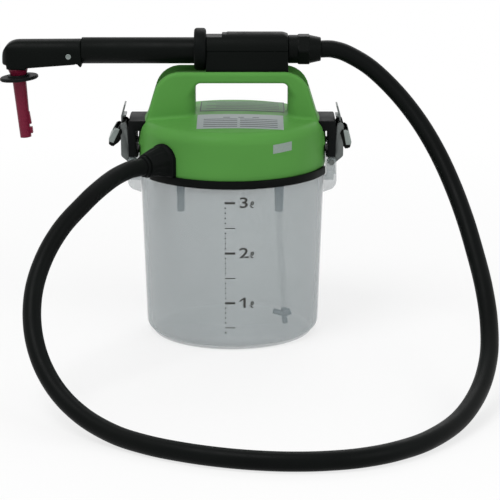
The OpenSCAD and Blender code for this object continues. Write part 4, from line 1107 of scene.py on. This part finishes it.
@dataclass
class HeadCover:
    """The green cover and carrying handle, moulded in one piece."""

    radius: float = 87.4
    wall: float = 2.5
    base_z: float = 163.0
    shoulder_z: float = 195.0
    shoulder_r: float = 11.0
    crown: float = 4.0
    handle_half: float = 22.0
    rail_z: float = 250.8
    foot_x: float = 83.3
    top_x: float = 72.5
    corner_r: float = 24.0
    gap: tuple[float, float] = (-34.2, 51.9)
    gap_top: float = 240.4
    trough_z: float = 245.5
    trough_half: float = 18.0
    fillet: float = 4.0
    edge_r: float = 3.5
    leg_r: float = 10.0
    recess_end: float = 231.0
    panel: tuple[float, float, float, float] = (-30.5, 49.4, 3.0, 66.0)
    panel_edge: tuple[float, float] = (1.1, 3.0)
    silver: tuple[tuple[float, float], tuple[float, float]] = ((-32, 47.5), (-64, -12.5))
    rules: tuple[tuple[float, float], ...] = ((-26, 5), (7.5, 42))
    header: tuple[tuple[float, float], ...] = ((-8, -2), (6, 11), (19, 25))
    sticker_x: tuple[float, float] = (37.6, 54.6)
    sticker_z: tuple[float, float] = (187.2, 195.4)
    sticker_tilt: float = 0.075

    def deck(self, r: Array) -> Array:
        """Height of the crowned deck, which falls with the square of the radius.

        Args:
            r: Radii in millimetres.

        Returns:
            The height at each.
        """
        edge = self.radius - self.shoulder_r
        rim = self.shoulder_z + self.shoulder_r * math.sin(math.radians(84))
        return rim + self.crown * (1 - (r / edge) ** 2)

    def profile(self, bottom: float) -> Outline:
        """Outline the cover's outer form in radius and height.

        Args:
            bottom: Height that it goes down to.

        Returns:
            The corners: rim, wall, shoulder and crowned deck, carried on past the axis.
        """
        edge = self.radius - self.shoulder_r
        crown = [(float(r), float(self.deck(r))) for r in np.linspace(edge - 4, 0, 8)]
        arc = Shape.arc(edge, self.shoulder_z, self.shoulder_r, 0, 84, 10)
        return [(-40, bottom), (self.radius, bottom)] + arc + crown + [(-40, crown[-1][1])]

    def arch(self) -> Outline:
        """Outline the handle in X and Z: two leaning legs, an arc at each top corner and a level bar.

        Returns:
            The corners, from the right leg's foot round to the left one's.
        """
        cx, cz, r = self.top_x - self.corner_r, self.rail_z - self.corner_r, self.corner_r
        side, up = self.foot_x - cx, self.shoulder_z - cz
        lean = math.atan2(up, side) + math.acos(r / math.hypot(side, up))
        below = 12.0
        right = [(self.foot_x + below * math.tan(lean), self.shoulder_z - below)]
        right += Shape.arc(cx, cz, r, math.degrees(lean), 90, 14)
        return right + [(-x, z) for x, z in reversed(right)]

    def finger_gap(self) -> Outline:
        """Outline the space under the bar, which is open below.

        Returns:
            The corners, from the right one's foot round to the left one's.
        """
        a, b, top, r = *self.gap, self.gap_top, 5.0
        return ([(b, 150)] + Shape.arc(b - r, top - r, r, 0, 90, 6) + Shape.arc(a + r, top - r, r, 90, 180, 6)
                + [(a, 150)])

    def solid(self, x: Array, y: Array, z: Array) -> Array:
        """Field of the moulding: cover and handle with a fillet between them, less trough and cavity.

        Args:
            x: Places along X, in millimetres.
            y: Places along Y.
            z: Heights.

        Returns:
            The distance at each point, below zero inside.
        """
        r = np.hypot(x, y)
        cover = Shape.polygon(r, z, self.profile(self.base_z - 1))
        arch, gap = Shape.polygon(x, z, self.arch()), -Shape.polygon(x, z, self.finger_gap())
        low = np.clip((self.gap_top - 1 - z) / 14, 0, 1)
        rounding = np.where(gap > arch, 2.0 + (self.leg_r - 2.0) * low * low * (3 - 2 * low), self.edge_r)
        handle = Shape.prism(np.maximum(arch, gap), y, self.handle_half, rounding)
        handle = np.maximum(handle, self.base_z + 20 - z)
        body = Shape.join(cover, handle, self.fillet)
        depth = self.rail_z - self.trough_z
        floor = np.minimum(self.trough_z - z, np.maximum(-arch - depth, self.recess_end - z))
        trough = Shape.keep(np.abs(y) - self.trough_half, floor, 2.0)
        body = Shape.keep(body, -trough, 1.0)
        cavity = Shape.polygon(r, z, self.profile(140)) + self.wall
        return np.maximum.reduce([body, -cavity, -self.outlet(x, y, z)])

    @staticmethod
    def outlet(x: Array, y: Array, z: Array) -> Array:
        """Field of the hose outlet's bore, along the azimuth of 225 degrees."""
        u, s = -(x + y) / math.sqrt(2), (x - y) / math.sqrt(2)
        return np.maximum(np.hypot(s, z - 175) - 6, 60 - u)

    def on_deck(self, x: Array, y: Array, lift: float) -> Array:
        """Lay flat points on the deck."""
        return np.stack([x, y, self.deck(np.hypot(x, y)) + lift], axis=-1)

    def deck_plate(self, name: str, x: tuple[float, float], y: tuple[float, float],
                   lift: float) -> bpy.types.Object:
        """Make a thin printed plate that follows the deck.

        Args:
            name: The piece's name.
            x: Its left and right edges.
            y: Its front and back edges.
            lift: How far it stands off the deck.

        Returns:
            The plate.
        """
        gx, gy = np.meshgrid(np.linspace(*x, 24), np.linspace(*y, 12))
        return Mesher.plate(name, self.on_deck(gx, gy, lift), np.array([0, 0, -lift - 0.25]))

    def sticker(self) -> bpy.types.Object:
        """Make the bare sticker, which follows the front of the cover and leans a little.

        Returns:
            The plate.
        """
        gx, gz = np.meshgrid(np.linspace(*self.sticker_x, 12), np.linspace(*self.sticker_z, 3))
        gz = gz + (gx - 46) * self.sticker_tilt
        r, proud = self.radius, 0.15
        top = np.stack([(r + proud) * gx / r, -(r + proud) * np.sqrt(1 - (gx / r) ** 2), gz], axis=-1)
        share = (r - proud) / (r + proud)
        return Mesher.plate("bare_sticker", top, top * np.array([share, share, 1]) - top)

    def labels(self, shop: Workshop) -> None:
        """Lay a blank outlined panel, a ruled silver label and a bare sticker on the cover.

        Args:
            shop: Nodes, finishes and edge breaker.
        """
        x0, x1, y0, y1 = self.panel
        w, h = self.panel_edge
        plates = [
            ("panel_frame_front", (x0, x1), (y0, y0 + h), 0.14, Finish.FRAME_INK),
            ("panel_frame_back", (x0, x1), (y1 - h, y1), 0.14, Finish.FRAME_INK),
            ("panel_frame_left", (x0, x0 + w), (y0 + h, y1 - h), 0.14, Finish.FRAME_INK),
            ("panel_frame_right", (x1 - w, x1), (y0 + h, y1 - h), 0.14, Finish.FRAME_INK),
            ("panel_print", (x0 + w, x1 - w), (y0 + h, y1 - h), 0.10, Finish.PANEL),
        ]
        for row in range(5):
            ends, y = (x0 + 6 + 9 * (row % 2), x1 - 5), y0 + 10 + row * 9.5
            plates.append((f"panel_line_{row}", ends, (y, y + 3.4), 0.16, Finish.PANEL_MARKS))
        plates.append(("silver_label", *self.silver, 0.14, Finish.SILVER))
        for row in range(6):
            y = self.silver[1][0] + 5 + row * 6.4
            for column, ends in enumerate(self.rules if row < 5 else self.header):
                plates.append((f"label_rule_{row}_{column}", ends, (y, y + 2.2), 0.19, Finish.RULES))
        for name, x, y, lift, finish in plates:
            shop.add(self.deck_plate(name, x, y, lift), "head", finish)
        shop.add(self.sticker(), "head", Finish.PAPER)

    def build(self, shop: Workshop) -> None:
        """Mesh the moulding and lay its labels.

        Args:
            shop: Nodes, finishes and edge breaker.
        """
        box = FieldMesher((-89.6, -89.6, 160.6), (89.6, 89.6, 253.2), 1.25)
        shop.add(box.build("green_cover", self.solid), "head", Finish.GREEN, "head_cover")
        self.labels(shop)
        shop.soften("base_plate", "head", Finish.BLACK, 0.5)
        shop.finish_nodes(["tank_seal"], Finish.SEAL)


@dataclass
class HoseBoot:
    """The black boot that the hose leaves the head through."""

    angle: float = 225.0
    half: float = 15.0
    arch_z: float = 177.4
    base_z: float = 163.1
    face: float = 91.4
    end: float = 110.9
    outlet_z: float = 175.0
    ring: float = 9.6
    bore: float = 5.0
    flute: float = 0.5
    cover_r: float = 87.5

    def solid(self, u: Array, s: Array, z: Array) -> Array:
        """Field of the boot: an arched cap on the cover that tapers to a barrel round the hose.

        Args:
            u: Places outwards along the outlet, in millimetres.
            s: Places across it.
            z: Heights.

        Returns:
            The distance at each point, below zero inside.
        """
        arch = np.where(z > self.arch_z, np.hypot(s, z - self.arch_z) - self.half, np.abs(s) - self.half)
        arch = Shape.keep(arch, self.base_z - z, 1.5)
        cap = Shape.keep(arch, u - self.face, 1.2)
        share = np.clip((u - self.face) / (self.end - self.face), -0.3, 1)
        eased = np.clip(share, 0, 1) ** 1.7
        barrel = (1 - eased) * (arch + 1.6) + eased * (np.hypot(s, z - self.outlet_z) - self.ring - 1.1)
        around = np.arctan2(s, z - self.outlet_z)
        flutes = np.maximum(np.cos(12 * around), 0) * np.sin(np.pi * np.clip(share, 0, 1))
        barrel = np.maximum(Shape.keep(barrel + self.flute * flutes, u - self.end, 0.8), 80 - u)
        bore = np.hypot(s, z - self.outlet_z) - self.bore
        cover = np.hypot(u, s) - self.cover_r
        return np.maximum.reduce([Shape.join(cap, barrel, 1.0), -bore, -cover])

    def turn(self, points: Array) -> Array:
        """Turn points from the outlet's own frame to the row's frame."""
        c, s = math.cos(math.radians(self.angle)), math.sin(math.radians(self.angle))
        return points @ np.array([[c, s, 0], [-s, c, 0], [0, 0, 1]])

    def lay(self, p: Array) -> Array:
        """Lay an upright revolve along the outlet."""
        return self.turn(np.stack([p[:, 2], p[:, 0], p[:, 1] + self.outlet_z], axis=1))

    def build(self, shop: Workshop) -> None:
        """Mesh the boot and the ring round the hose.

        Args:
            shop: Nodes, finishes and edge breaker.
        """
        boot = FieldMesher((78, -17, 161.5), (113, 17, 197), 0.7).build("outlet_boot", self.solid, self.turn)
        shop.add(boot, "head", Finish.RUBBER, "hose_boot")
        r, b, e = self.ring, self.bore, self.end
        loop = np.array([(b, e), (r - 0.6, e), (r, e + 0.6), (r, e + 2.8), (r - 0.7, e + 3.5), (b, e + 3.5)])
        shop.add(Mesher.revolve("outlet_ring", loop, 64, self.lay), "head", Finish.RUBBER, "hose_ring")


@dataclass
class Gun:
    """The dispensing gun: head, tube, collar, grip and nut, all about one axis along X."""

    axis_z: float = 269.0
    left: float = -214.4
    tube_left: float = -139.7
    half: float = 12.0
    elbow: float = 18.0
    bottom: float = 251.0
    grip: tuple[float, float] = (-24.1, 52.1)
    grip_r: float = 16.3
    grip_drop: float = 23.5
    grip_wall: float = 2.2
    step: tuple[float, float] = (-9.3, 12.9)
    tube_r: float = 12.2
    tube_drop: float = 1.2
    collar: tuple[float, float] = (19.7, 11.1)
    nut: tuple[float, float, float, float] = (52.2, 61.0, 71.9, 82.5)
    nut_r: tuple[float, float] = (15.2, 10.9)

    def along(self, drop: float = 0.0) -> Placing:
        """Return the placing that lays an upright revolve along X, at a drop below the gun's axis."""
        return lambda p: np.stack([p[:, 2], p[:, 0], p[:, 1] + self.axis_z - drop], axis=1)

    def head(self, x: Array, y: Array, z: Array) -> Array:
        """Field of the head: the side outline, rounded over the top and along every edge.

        Args:
            x: Places along X, in millimetres.
            y: Places along Y.
            z: Heights.

        Returns:
            The distance at each point, below zero inside.
        """
        g, b, a = self.axis_z, self.bottom, self.left
        top, t = g + 9.5, self.tube_left
        outline = [
            (t, top + 0.6), (t, g - 15), (t - 1.4, g - 15.6), (t - 3.8, g - 13), (t - 5.4, g - 12.6),
            (t - 6.4, g - 13.2), (a + 23.4, b + 1.4), (a + 22.6, b - 0.6), (a + 5, b + 0.4),
            (a + 4.6, b + 4), (a + 1, b + 4.2), (a, b + 5.5),
        ] + Shape.arc(a + self.elbow, top - self.elbow, self.elbow, 180, 90, 12)
        side = Shape.polygon(x, z, outline)
        middle = g - 1.7
        section = np.where(z > middle, np.hypot(y, z - middle) - self.half, np.abs(y) - self.half)
        corner = np.hypot(np.maximum(a + 14 - x, 0), y) - 13.9
        body = Shape.keep(Shape.keep(side, section, 2.4), corner, 1.5)
        socket = np.maximum(t - 0.2 - x, np.hypot(y, z - g + self.tube_drop) - 10.4)
        bolt = np.maximum(np.hypot(x - t + 11.9, z - g + 5.4) - 2.55, y + self.half - 2)
        mouth = np.maximum(np.hypot(x - a - 14.8, y) - 9.35, z - b - 12)
        return np.maximum.reduce([body, -socket, -bolt, -mouth])

    def grip_part(self, lower: bool) -> DistanceField:
        """Make the field of one shell of the grip, which is split at the axis.

        Args:
            lower: True for the lower shell, False for the upper one.

        Returns:
            The field.
        """
        (x0, x1), r, low, bend = self.grip, self.grip_r, self.grip_drop, 5.0
        bottom = ([(-r, 0)] + Shape.arc(-r + bend, -low + bend, bend, 180, 270, 6)
                  + Shape.arc(r - bend, -low + bend, bend, 270, 360, 6) + [(r, 0)])
        inner_start, inner_end = self.step[0] + self.grip_wall, x1 - 4

        def solid(x: Array, y: Array, z: Array) -> Array:
            """Field of the shell: the section carried along X, with rounded ends and a hollow inside.

            Args:
                x: Places along X, in millimetres.
                y: Places along Y.
                z: Heights.

            Returns:
                The distance at each point, below zero inside.
            """
            h = z - self.axis_z
            section = np.minimum(np.hypot(y, h) - r, Shape.polygon(y, h, bottom))
            body = Shape.prism(section, x - (x0 + x1) / 2, (x1 - x0) / 2, 1.0)
            ledge = np.maximum(self.step[1] - h, x - self.step[0])
            lower_ledge = np.maximum(r - 1.1 - h, x - self.step[0] - 4.5)
            slope = (h - r + (x - x1 + 5) * 0.6) * 0.86
            body = Shape.keep(Shape.keep(body, -np.minimum(ledge, lower_ledge), 0.6), slope, 1.0)
            inner = np.abs(x - (inner_start + inner_end) / 2) - (inner_end - inner_start) / 2
            inner = np.maximum(section + self.grip_wall, inner)
            bore = np.maximum(np.hypot(y, h + self.tube_drop) - self.tube_r - 0.05, x - self.step[0] - 3)
            neck = np.maximum(np.hypot(y, h) - 7.05, 30 - x)
            body = np.maximum.reduce([body, -inner, -bore, -neck])
            return Shape.keep(body, h + 0.05 if lower else 0.25 - h, 0.5)

        return solid

    def nut_solid(self, x: Array, y: Array, z: Array) -> Array:
        """Field of the nut: a round part, a hexagon with a chamfer, then a cone down to the hose.

        Args:
            x: Places along X, in millimetres.
            y: Places along Y.
            z: Heights.

        Returns:
            The distance at each point, below zero inside.
        """
        x0, xh, x1, x2 = self.nut
        big, small = self.nut_r
        h = z - self.axis_z
        flats = [np.abs(h * math.cos(a) + y * math.sin(a)) for a in np.radians([0, 60, 120])]
        flat = big * math.cos(math.radians(30))
        hexagon = np.maximum.reduce(flats) - flat
        r = np.hypot(y, h)
        nut = Shape.keep(hexagon, (r - big + np.maximum(xh + 1.2 - x, 0)) * 0.8, 0.5)
        nut = Shape.keep(nut, np.maximum(xh - x, x - x1), 0.7)
        barrel = Shape.keep(r - flat, np.maximum(x0 - x, x - xh - 1), 0.7)
        cone = r - (flat - (flat - small) * (x - x1) / (x2 - x1))
        cone = Shape.keep(cone, np.maximum(x1 - 1 - x, x - x2), 0.8)
        spigot = np.maximum(r - 7, np.maximum(48.1 - x, x - x0 - 1))
        body = np.minimum.reduce([nut, barrel, cone, spigot])
        return np.maximum(body, -np.maximum(r - 4.05, x - x2 + 6))

    def tube_pieces(self, shop: Workshop) -> None:
        """Turn the tube and the collar about the axis.

        Args:
            shop: Nodes, finishes and edge breaker.
        """
        x0, x1, r = self.tube_left + 0.05, self.step[0] + 2.2, self.tube_r
        tube = np.array([(r - 2, x0), (r - 0.4, x0), (r, x0 + 0.5), (r, x1), (r - 2, x1)])
        shop.add(Mesher.revolve("long_tube", tube, 96, self.along(self.tube_drop)), "gun", Finish.BLACK,
                 "extension_tube")
        big, long = self.collar
        end = self.grip[0]
        start = end - long
        edge, inner = 2.8, r + self.tube_drop + 0.05
        ring = np.array([(inner, start)] + Shape.arc(big - edge, start + edge, edge, -90, 0, 6)
                        + Shape.arc(big - edge, end - edge, edge, 0, 90, 6) + [(inner, end)])
        collar = Mesher.revolve("front_collar", ring, 96, self.along(), 35)
        shop.add(collar, "gun", Finish.RUBBER, "grip_collar")

    def build(self, shop: Workshop) -> None:
        """Mesh every piece of the gun and break the edges of its screw.

        Args:
            shop: Nodes, finishes and edge breaker.
        """
        head = FieldMesher((-216.4, -13.5, 248), (-138, 13.5, 282), 0.7).build("gun_head", self.head)
        shop.add(head, "gun", Finish.BLACK, "nozzle_head")
        self.tube_pieces(shop)
        box = FieldMesher((-26, -18.5, 243.4), (54, 18.5, 287.5), 0.9)
        shop.add(box.build("upper_grip_shell", self.grip_part(False)), "gun", Finish.BLACK, "grip_upper_shell")
        shop.add(box.build("lower_grip_shell", self.grip_part(True)), "gun", Finish.BLACK, "grip_lower_shell")
        nut = FieldMesher((46.5, -16.5, 253), (84, 16.5, 285), 0.6).build("hose_gland_nut", self.nut_solid)
        shop.add(nut, "gun", Finish.BLACK, "hose_nut")
        shop.soften("head_screw", "gun", Finish.BRIGHT, 0.12)


@dataclass
class Nozzle:
    """The crimson nozzle with its black stop disc, in a frame that leans with it."""

    origin: tuple[float, float, float] = (-199.6, 0.0, 251.0)
    lean: float = 5.0
    length: float = 65.6
    collar_r: float = 9.3
    seat: tuple[float, float] = (-6.5, -12.4)
    radius: float = 6.4
    tip_r: float = 5.2
    bore: float = 3.0
    rib_half: float = 2.2
    disc_r: float = 18.0

    def place(self, points: Array) -> Array:
        """Lean points by the nozzle's angle about Y and move them to the head's underside.

        Args:
            points: Array of n by 3 in the nozzle's own frame.

        Returns:
            The points in the row's frame.
        """
        c, s = math.cos(math.radians(self.lean)), math.sin(math.radians(self.lean))
        return points @ np.array([[c, 0, s], [0, 1, 0], [-s, 0, c]]) + np.array(self.origin)

    def solid(self, x: Array, y: Array, z: Array) -> Array:
        """Field of the nozzle: the turned form, its rib and notch, and the bore.

        Args:
            x: Places along X, in millimetres.
            y: Places along Y.
            z: Heights.

        Returns:
            The distance at each point, below zero inside.
        """
        (top, low), c, r0 = self.seat, self.collar_r, self.radius
        outline = [(-5, 10.5), (5, 10.5), (5.6, 9.9), (5.6, 3), (c + 0.9, 3), (c + 0.9, 1), (c, 1), (c, -0.6),
                   (r0 + 0.9, top), (r0 + 0.2, top), (r0 + 0.2, low), (r0, low - 0.5),
                   (self.tip_r, -self.length), (-5, -self.length)]
        r = np.hypot(x, y)
        turned = Shape.polygon(r, z, outline)
        up = z + self.length
        side = np.abs(y) - self.rib_half
        lug = np.maximum.reduce([side, np.abs(up - 6.45) - 3.05, np.abs(x - 3.65) - 3.65])
        rib = np.maximum(Shape.polygon(x, up, [(0, 12.2), (6.9, 12.2), (6.1, 23.8), (0, 25.2)]), side)
        body = Shape.join(Shape.join(turned, lug, 0.6), rib, 0.6)
        notch = np.maximum(np.abs(up - 10.85) - 1.35, self.tip_r - 0.3 - x)
        bore = np.maximum(r - self.bore, z - 6)
        return np.maximum(Shape.keep(body, -notch, 0.4), -bore)

    def build(self, shop: Workshop) -> None:
        """Mesh the nozzle and turn the disc.

        Args:
            shop: Nodes, finishes and edge breaker.
        """
        box = FieldMesher((-11, -11, -68), (11, 11, 12), 0.45)
        shop.add(box.build("crimson_nozzle", self.solid, self.place), "nozzle", Finish.CRIMSON, "nozzle")
        top = self.seat[0] - 0.1
        hub, inner, edge = self.radius + 2, self.radius + 0.25, self.disc_r
        face, ring = top - 0.8, self.radius + 4.1
        loop = np.array([(inner, top - 5.4), (hub - 0.4, top - 5.4), (hub, top - 4.9), (hub, face - 3.3),
                         (hub + 0.5, face - 3), (edge - 0.8, face - 3), (edge, face - 2.2), (edge, face - 0.8),
                         (edge - 0.8, face), (ring + 0.4, face), (ring, face + 0.4), (ring, face + 1.1),
                         (ring - 0.5, face + 1.6), (hub + 0.1, face + 1.6), (hub - 0.4, face + 1.1),
                         (hub - 0.4, top), (inner, top)])
        disc = Mesher.revolve("nozzle_stop_disc", loop, 96, self.place, 35)
        shop.add(disc, "nozzle", Finish.DISC, "stop_disc")
        shop.finish_nodes(["level_electrodes"], Finish.BRIGHT)


@dataclass
class HiddenParts:
    """What is closed inside the head and the gun, and the small metal pins and screws."""

    finishes: dict[Finish, tuple[str, ...]] = field(default_factory=lambda: {
        Finish.STEEL: ("lug_pins", "lever_rivets", "keeper_screws", "cover_screws", "pump_motor",
                       "motor_bracket", "grip_screws", "nozzle_spring"),
        Finish.BLACK: ("battery_holder", "micro_switch", "pump_body"),
        Finish.CELLS: ("battery_cells",),
        Finish.BOARD: ("circuit_board",),
        Finish.CLEAR: ("inner_hoses", "delivery_tube"),
    })

    def build(self, shop: Workshop) -> None:
        """Give each its finish."""
        for finish, names in self.finishes.items():
            shop.finish_nodes(names, finish)


# ------------------------------------------------------------------ stage


@dataclass
class Stage:
    """Pale floor, soft lights, white surroundings and the camera."""

    camera_at: tuple[float, float, float] = (0.0167, -2.0, 0.611)
    camera_tilt: float = 75.01
    lens: float = 156.4
    floor_tone: float = 0.90
    floor_glow: float = 0.70
    floor_fade: tuple[float, float] = (0.30, 0.85)
    ambient: float = 0.50
    lamps: tuple[tuple[str, tuple[float, float, float], float], ...] = (
        ("key_lamp", (-0.7, -0.9, 1.95), 20.0),
        ("fill_lamp", (1.3, -1.1, 0.9), 6.0),
        ("back_lamp", (0.3, 1.4, 1.4), 8.0),
    )

    def camera(self) -> None:
        """Place the camera and make it the scene's own."""
        data = bpy.data.cameras.new("camera")
        data.sensor_width, data.lens, data.clip_end = 36.0, self.lens, 50.0
        obj = Mesher.show("camera", data)
        obj.location = self.camera_at
        obj.rotation_euler = (math.radians(self.camera_tilt), 0, 0)
        bpy.context.scene.camera = obj

    @staticmethod
    def seen(tree: bpy.types.NodeTree) -> bpy.types.NodeSocket:
        """Tell what the camera, gloss and glass see from other light.

        Args:
            tree: The material's or the world's tree.

        Returns:
            A socket that is 1 for what they see and 0 for the rest.
        """
        rays = tree.nodes.new("ShaderNodeLightPath").outputs
        seen = rays["Is Camera Ray"]
        for name in ("Is Transmission Ray", "Is Glossy Ray"):
            seen = NodeBench.maths(tree, "MAXIMUM", seen, rays[name])
        return seen

    def floor(self) -> None:
        """Lay a pale floor that fades to the white surroundings away from the object.

        The camera, gloss and glass see part of its white at once, and all of it far out. The light that
        falls on the object sees a plain white floor.
        """
        n = 96
        angle = np.linspace(0, 2 * np.pi, n, endpoint=False)
        radii = np.array([0.0001, 1.0, 6.0])[:, None]
        points = np.stack([radii * np.cos(angle), radii * np.sin(angle) - 0.1, 0 * radii * angle], axis=-1)
        mesh = bpy.data.meshes.new("floor")
        faces = Mesher.grid_faces(3, n, False, True)[:, ::-1]
        mesh.from_pydata(points.reshape(-1, 3).tolist(), [], faces.tolist())
        obj = Mesher.show("floor", mesh)
        bench = NodeBench("floor_white")
        tree = bench.tree
        bench.set(Base_Color=(self.floor_tone,) * 3 + (1,), Roughness=0.9)
        glow = tree.nodes.new("ShaderNodeEmission")
        mix = tree.nodes.new("ShaderNodeMixShader")
        distance = tree.nodes.new("ShaderNodeVectorMath")
        distance.operation = "LENGTH"
        bench.link(bench.place, distance.inputs[0])
        fade = bench.spread(distance.outputs["Value"], self.floor_glow, 1.0, *self.floor_fade)
        bench.link(bench.maths(tree, "MULTIPLY", fade, self.seen(tree)), mix.inputs["Fac"])
        bench.link(bench.shader.outputs["BSDF"], mix.inputs[1])
        bench.link(glow.outputs["Emission"], mix.inputs[2])
        bench.link(mix.outputs["Shader"], tree.nodes["Material Output"].inputs["Surface"])
        mesh.materials.append(bench.material)

    def world(self) -> None:
        """Show white to the camera, to gloss and through glass, and light the rest more gently."""
        world = bpy.data.worlds.new("surroundings")
        world.use_nodes = True
        tree = world.node_tree
        background = tree.nodes["Background"]
        strength = NodeBench.maths(tree, "MAXIMUM", self.seen(tree), self.ambient)
        tree.links.new(strength, background.inputs["Strength"])
        background.inputs["Color"].default_value = (1, 1, 1, 1)
        bpy.context.scene.world = world

    @staticmethod
    def lamp(name: str, at: tuple[float, float, float], power: float) -> None:
        """Hang a square soft lamp that faces the object.

        Args:
            name: Its name.
            at: Its place in metres.
            power: Its power in watts.
        """
        data = bpy.data.lights.new(name, "AREA")
        data.size, data.energy = 1.0, power
        obj = Mesher.show(name, data)
        obj.location = at
        towards = np.array([0, 0, 0.15]) - np.array(at)
        obj.rotation_euler = (math.acos(-towards[2] / np.linalg.norm(towards)), 0,
                              math.atan2(towards[1], towards[0]) - math.pi / 2)

    def build(self) -> None:
        """Set the whole stage."""
        self.floor()
        self.world()
        for lamp in self.lamps:
            self.lamp(*lamp)
        bpy.context.scene.view_settings.view_transform = "Standard"


def main() -> None:
    """Build every sub-assembly in order."""
    logging.basicConfig(level=logging.INFO, format="%(name)s: %(message)s")
    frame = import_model()
    stage = Stage()
    stage.camera()
    shop = Workshop(frame)
    Hose().build(shop)
    parts = [Tank(), HeadCover(), HoseBoot(), Gun(), Nozzle(), HiddenParts()]
    parts += [Latch(side) for side in Side]
    for part in parts:
        part.build(shop)
        log.info("%s done", type(part).__name__)
    stage.build()


if __name__ == "__main__":
    main()
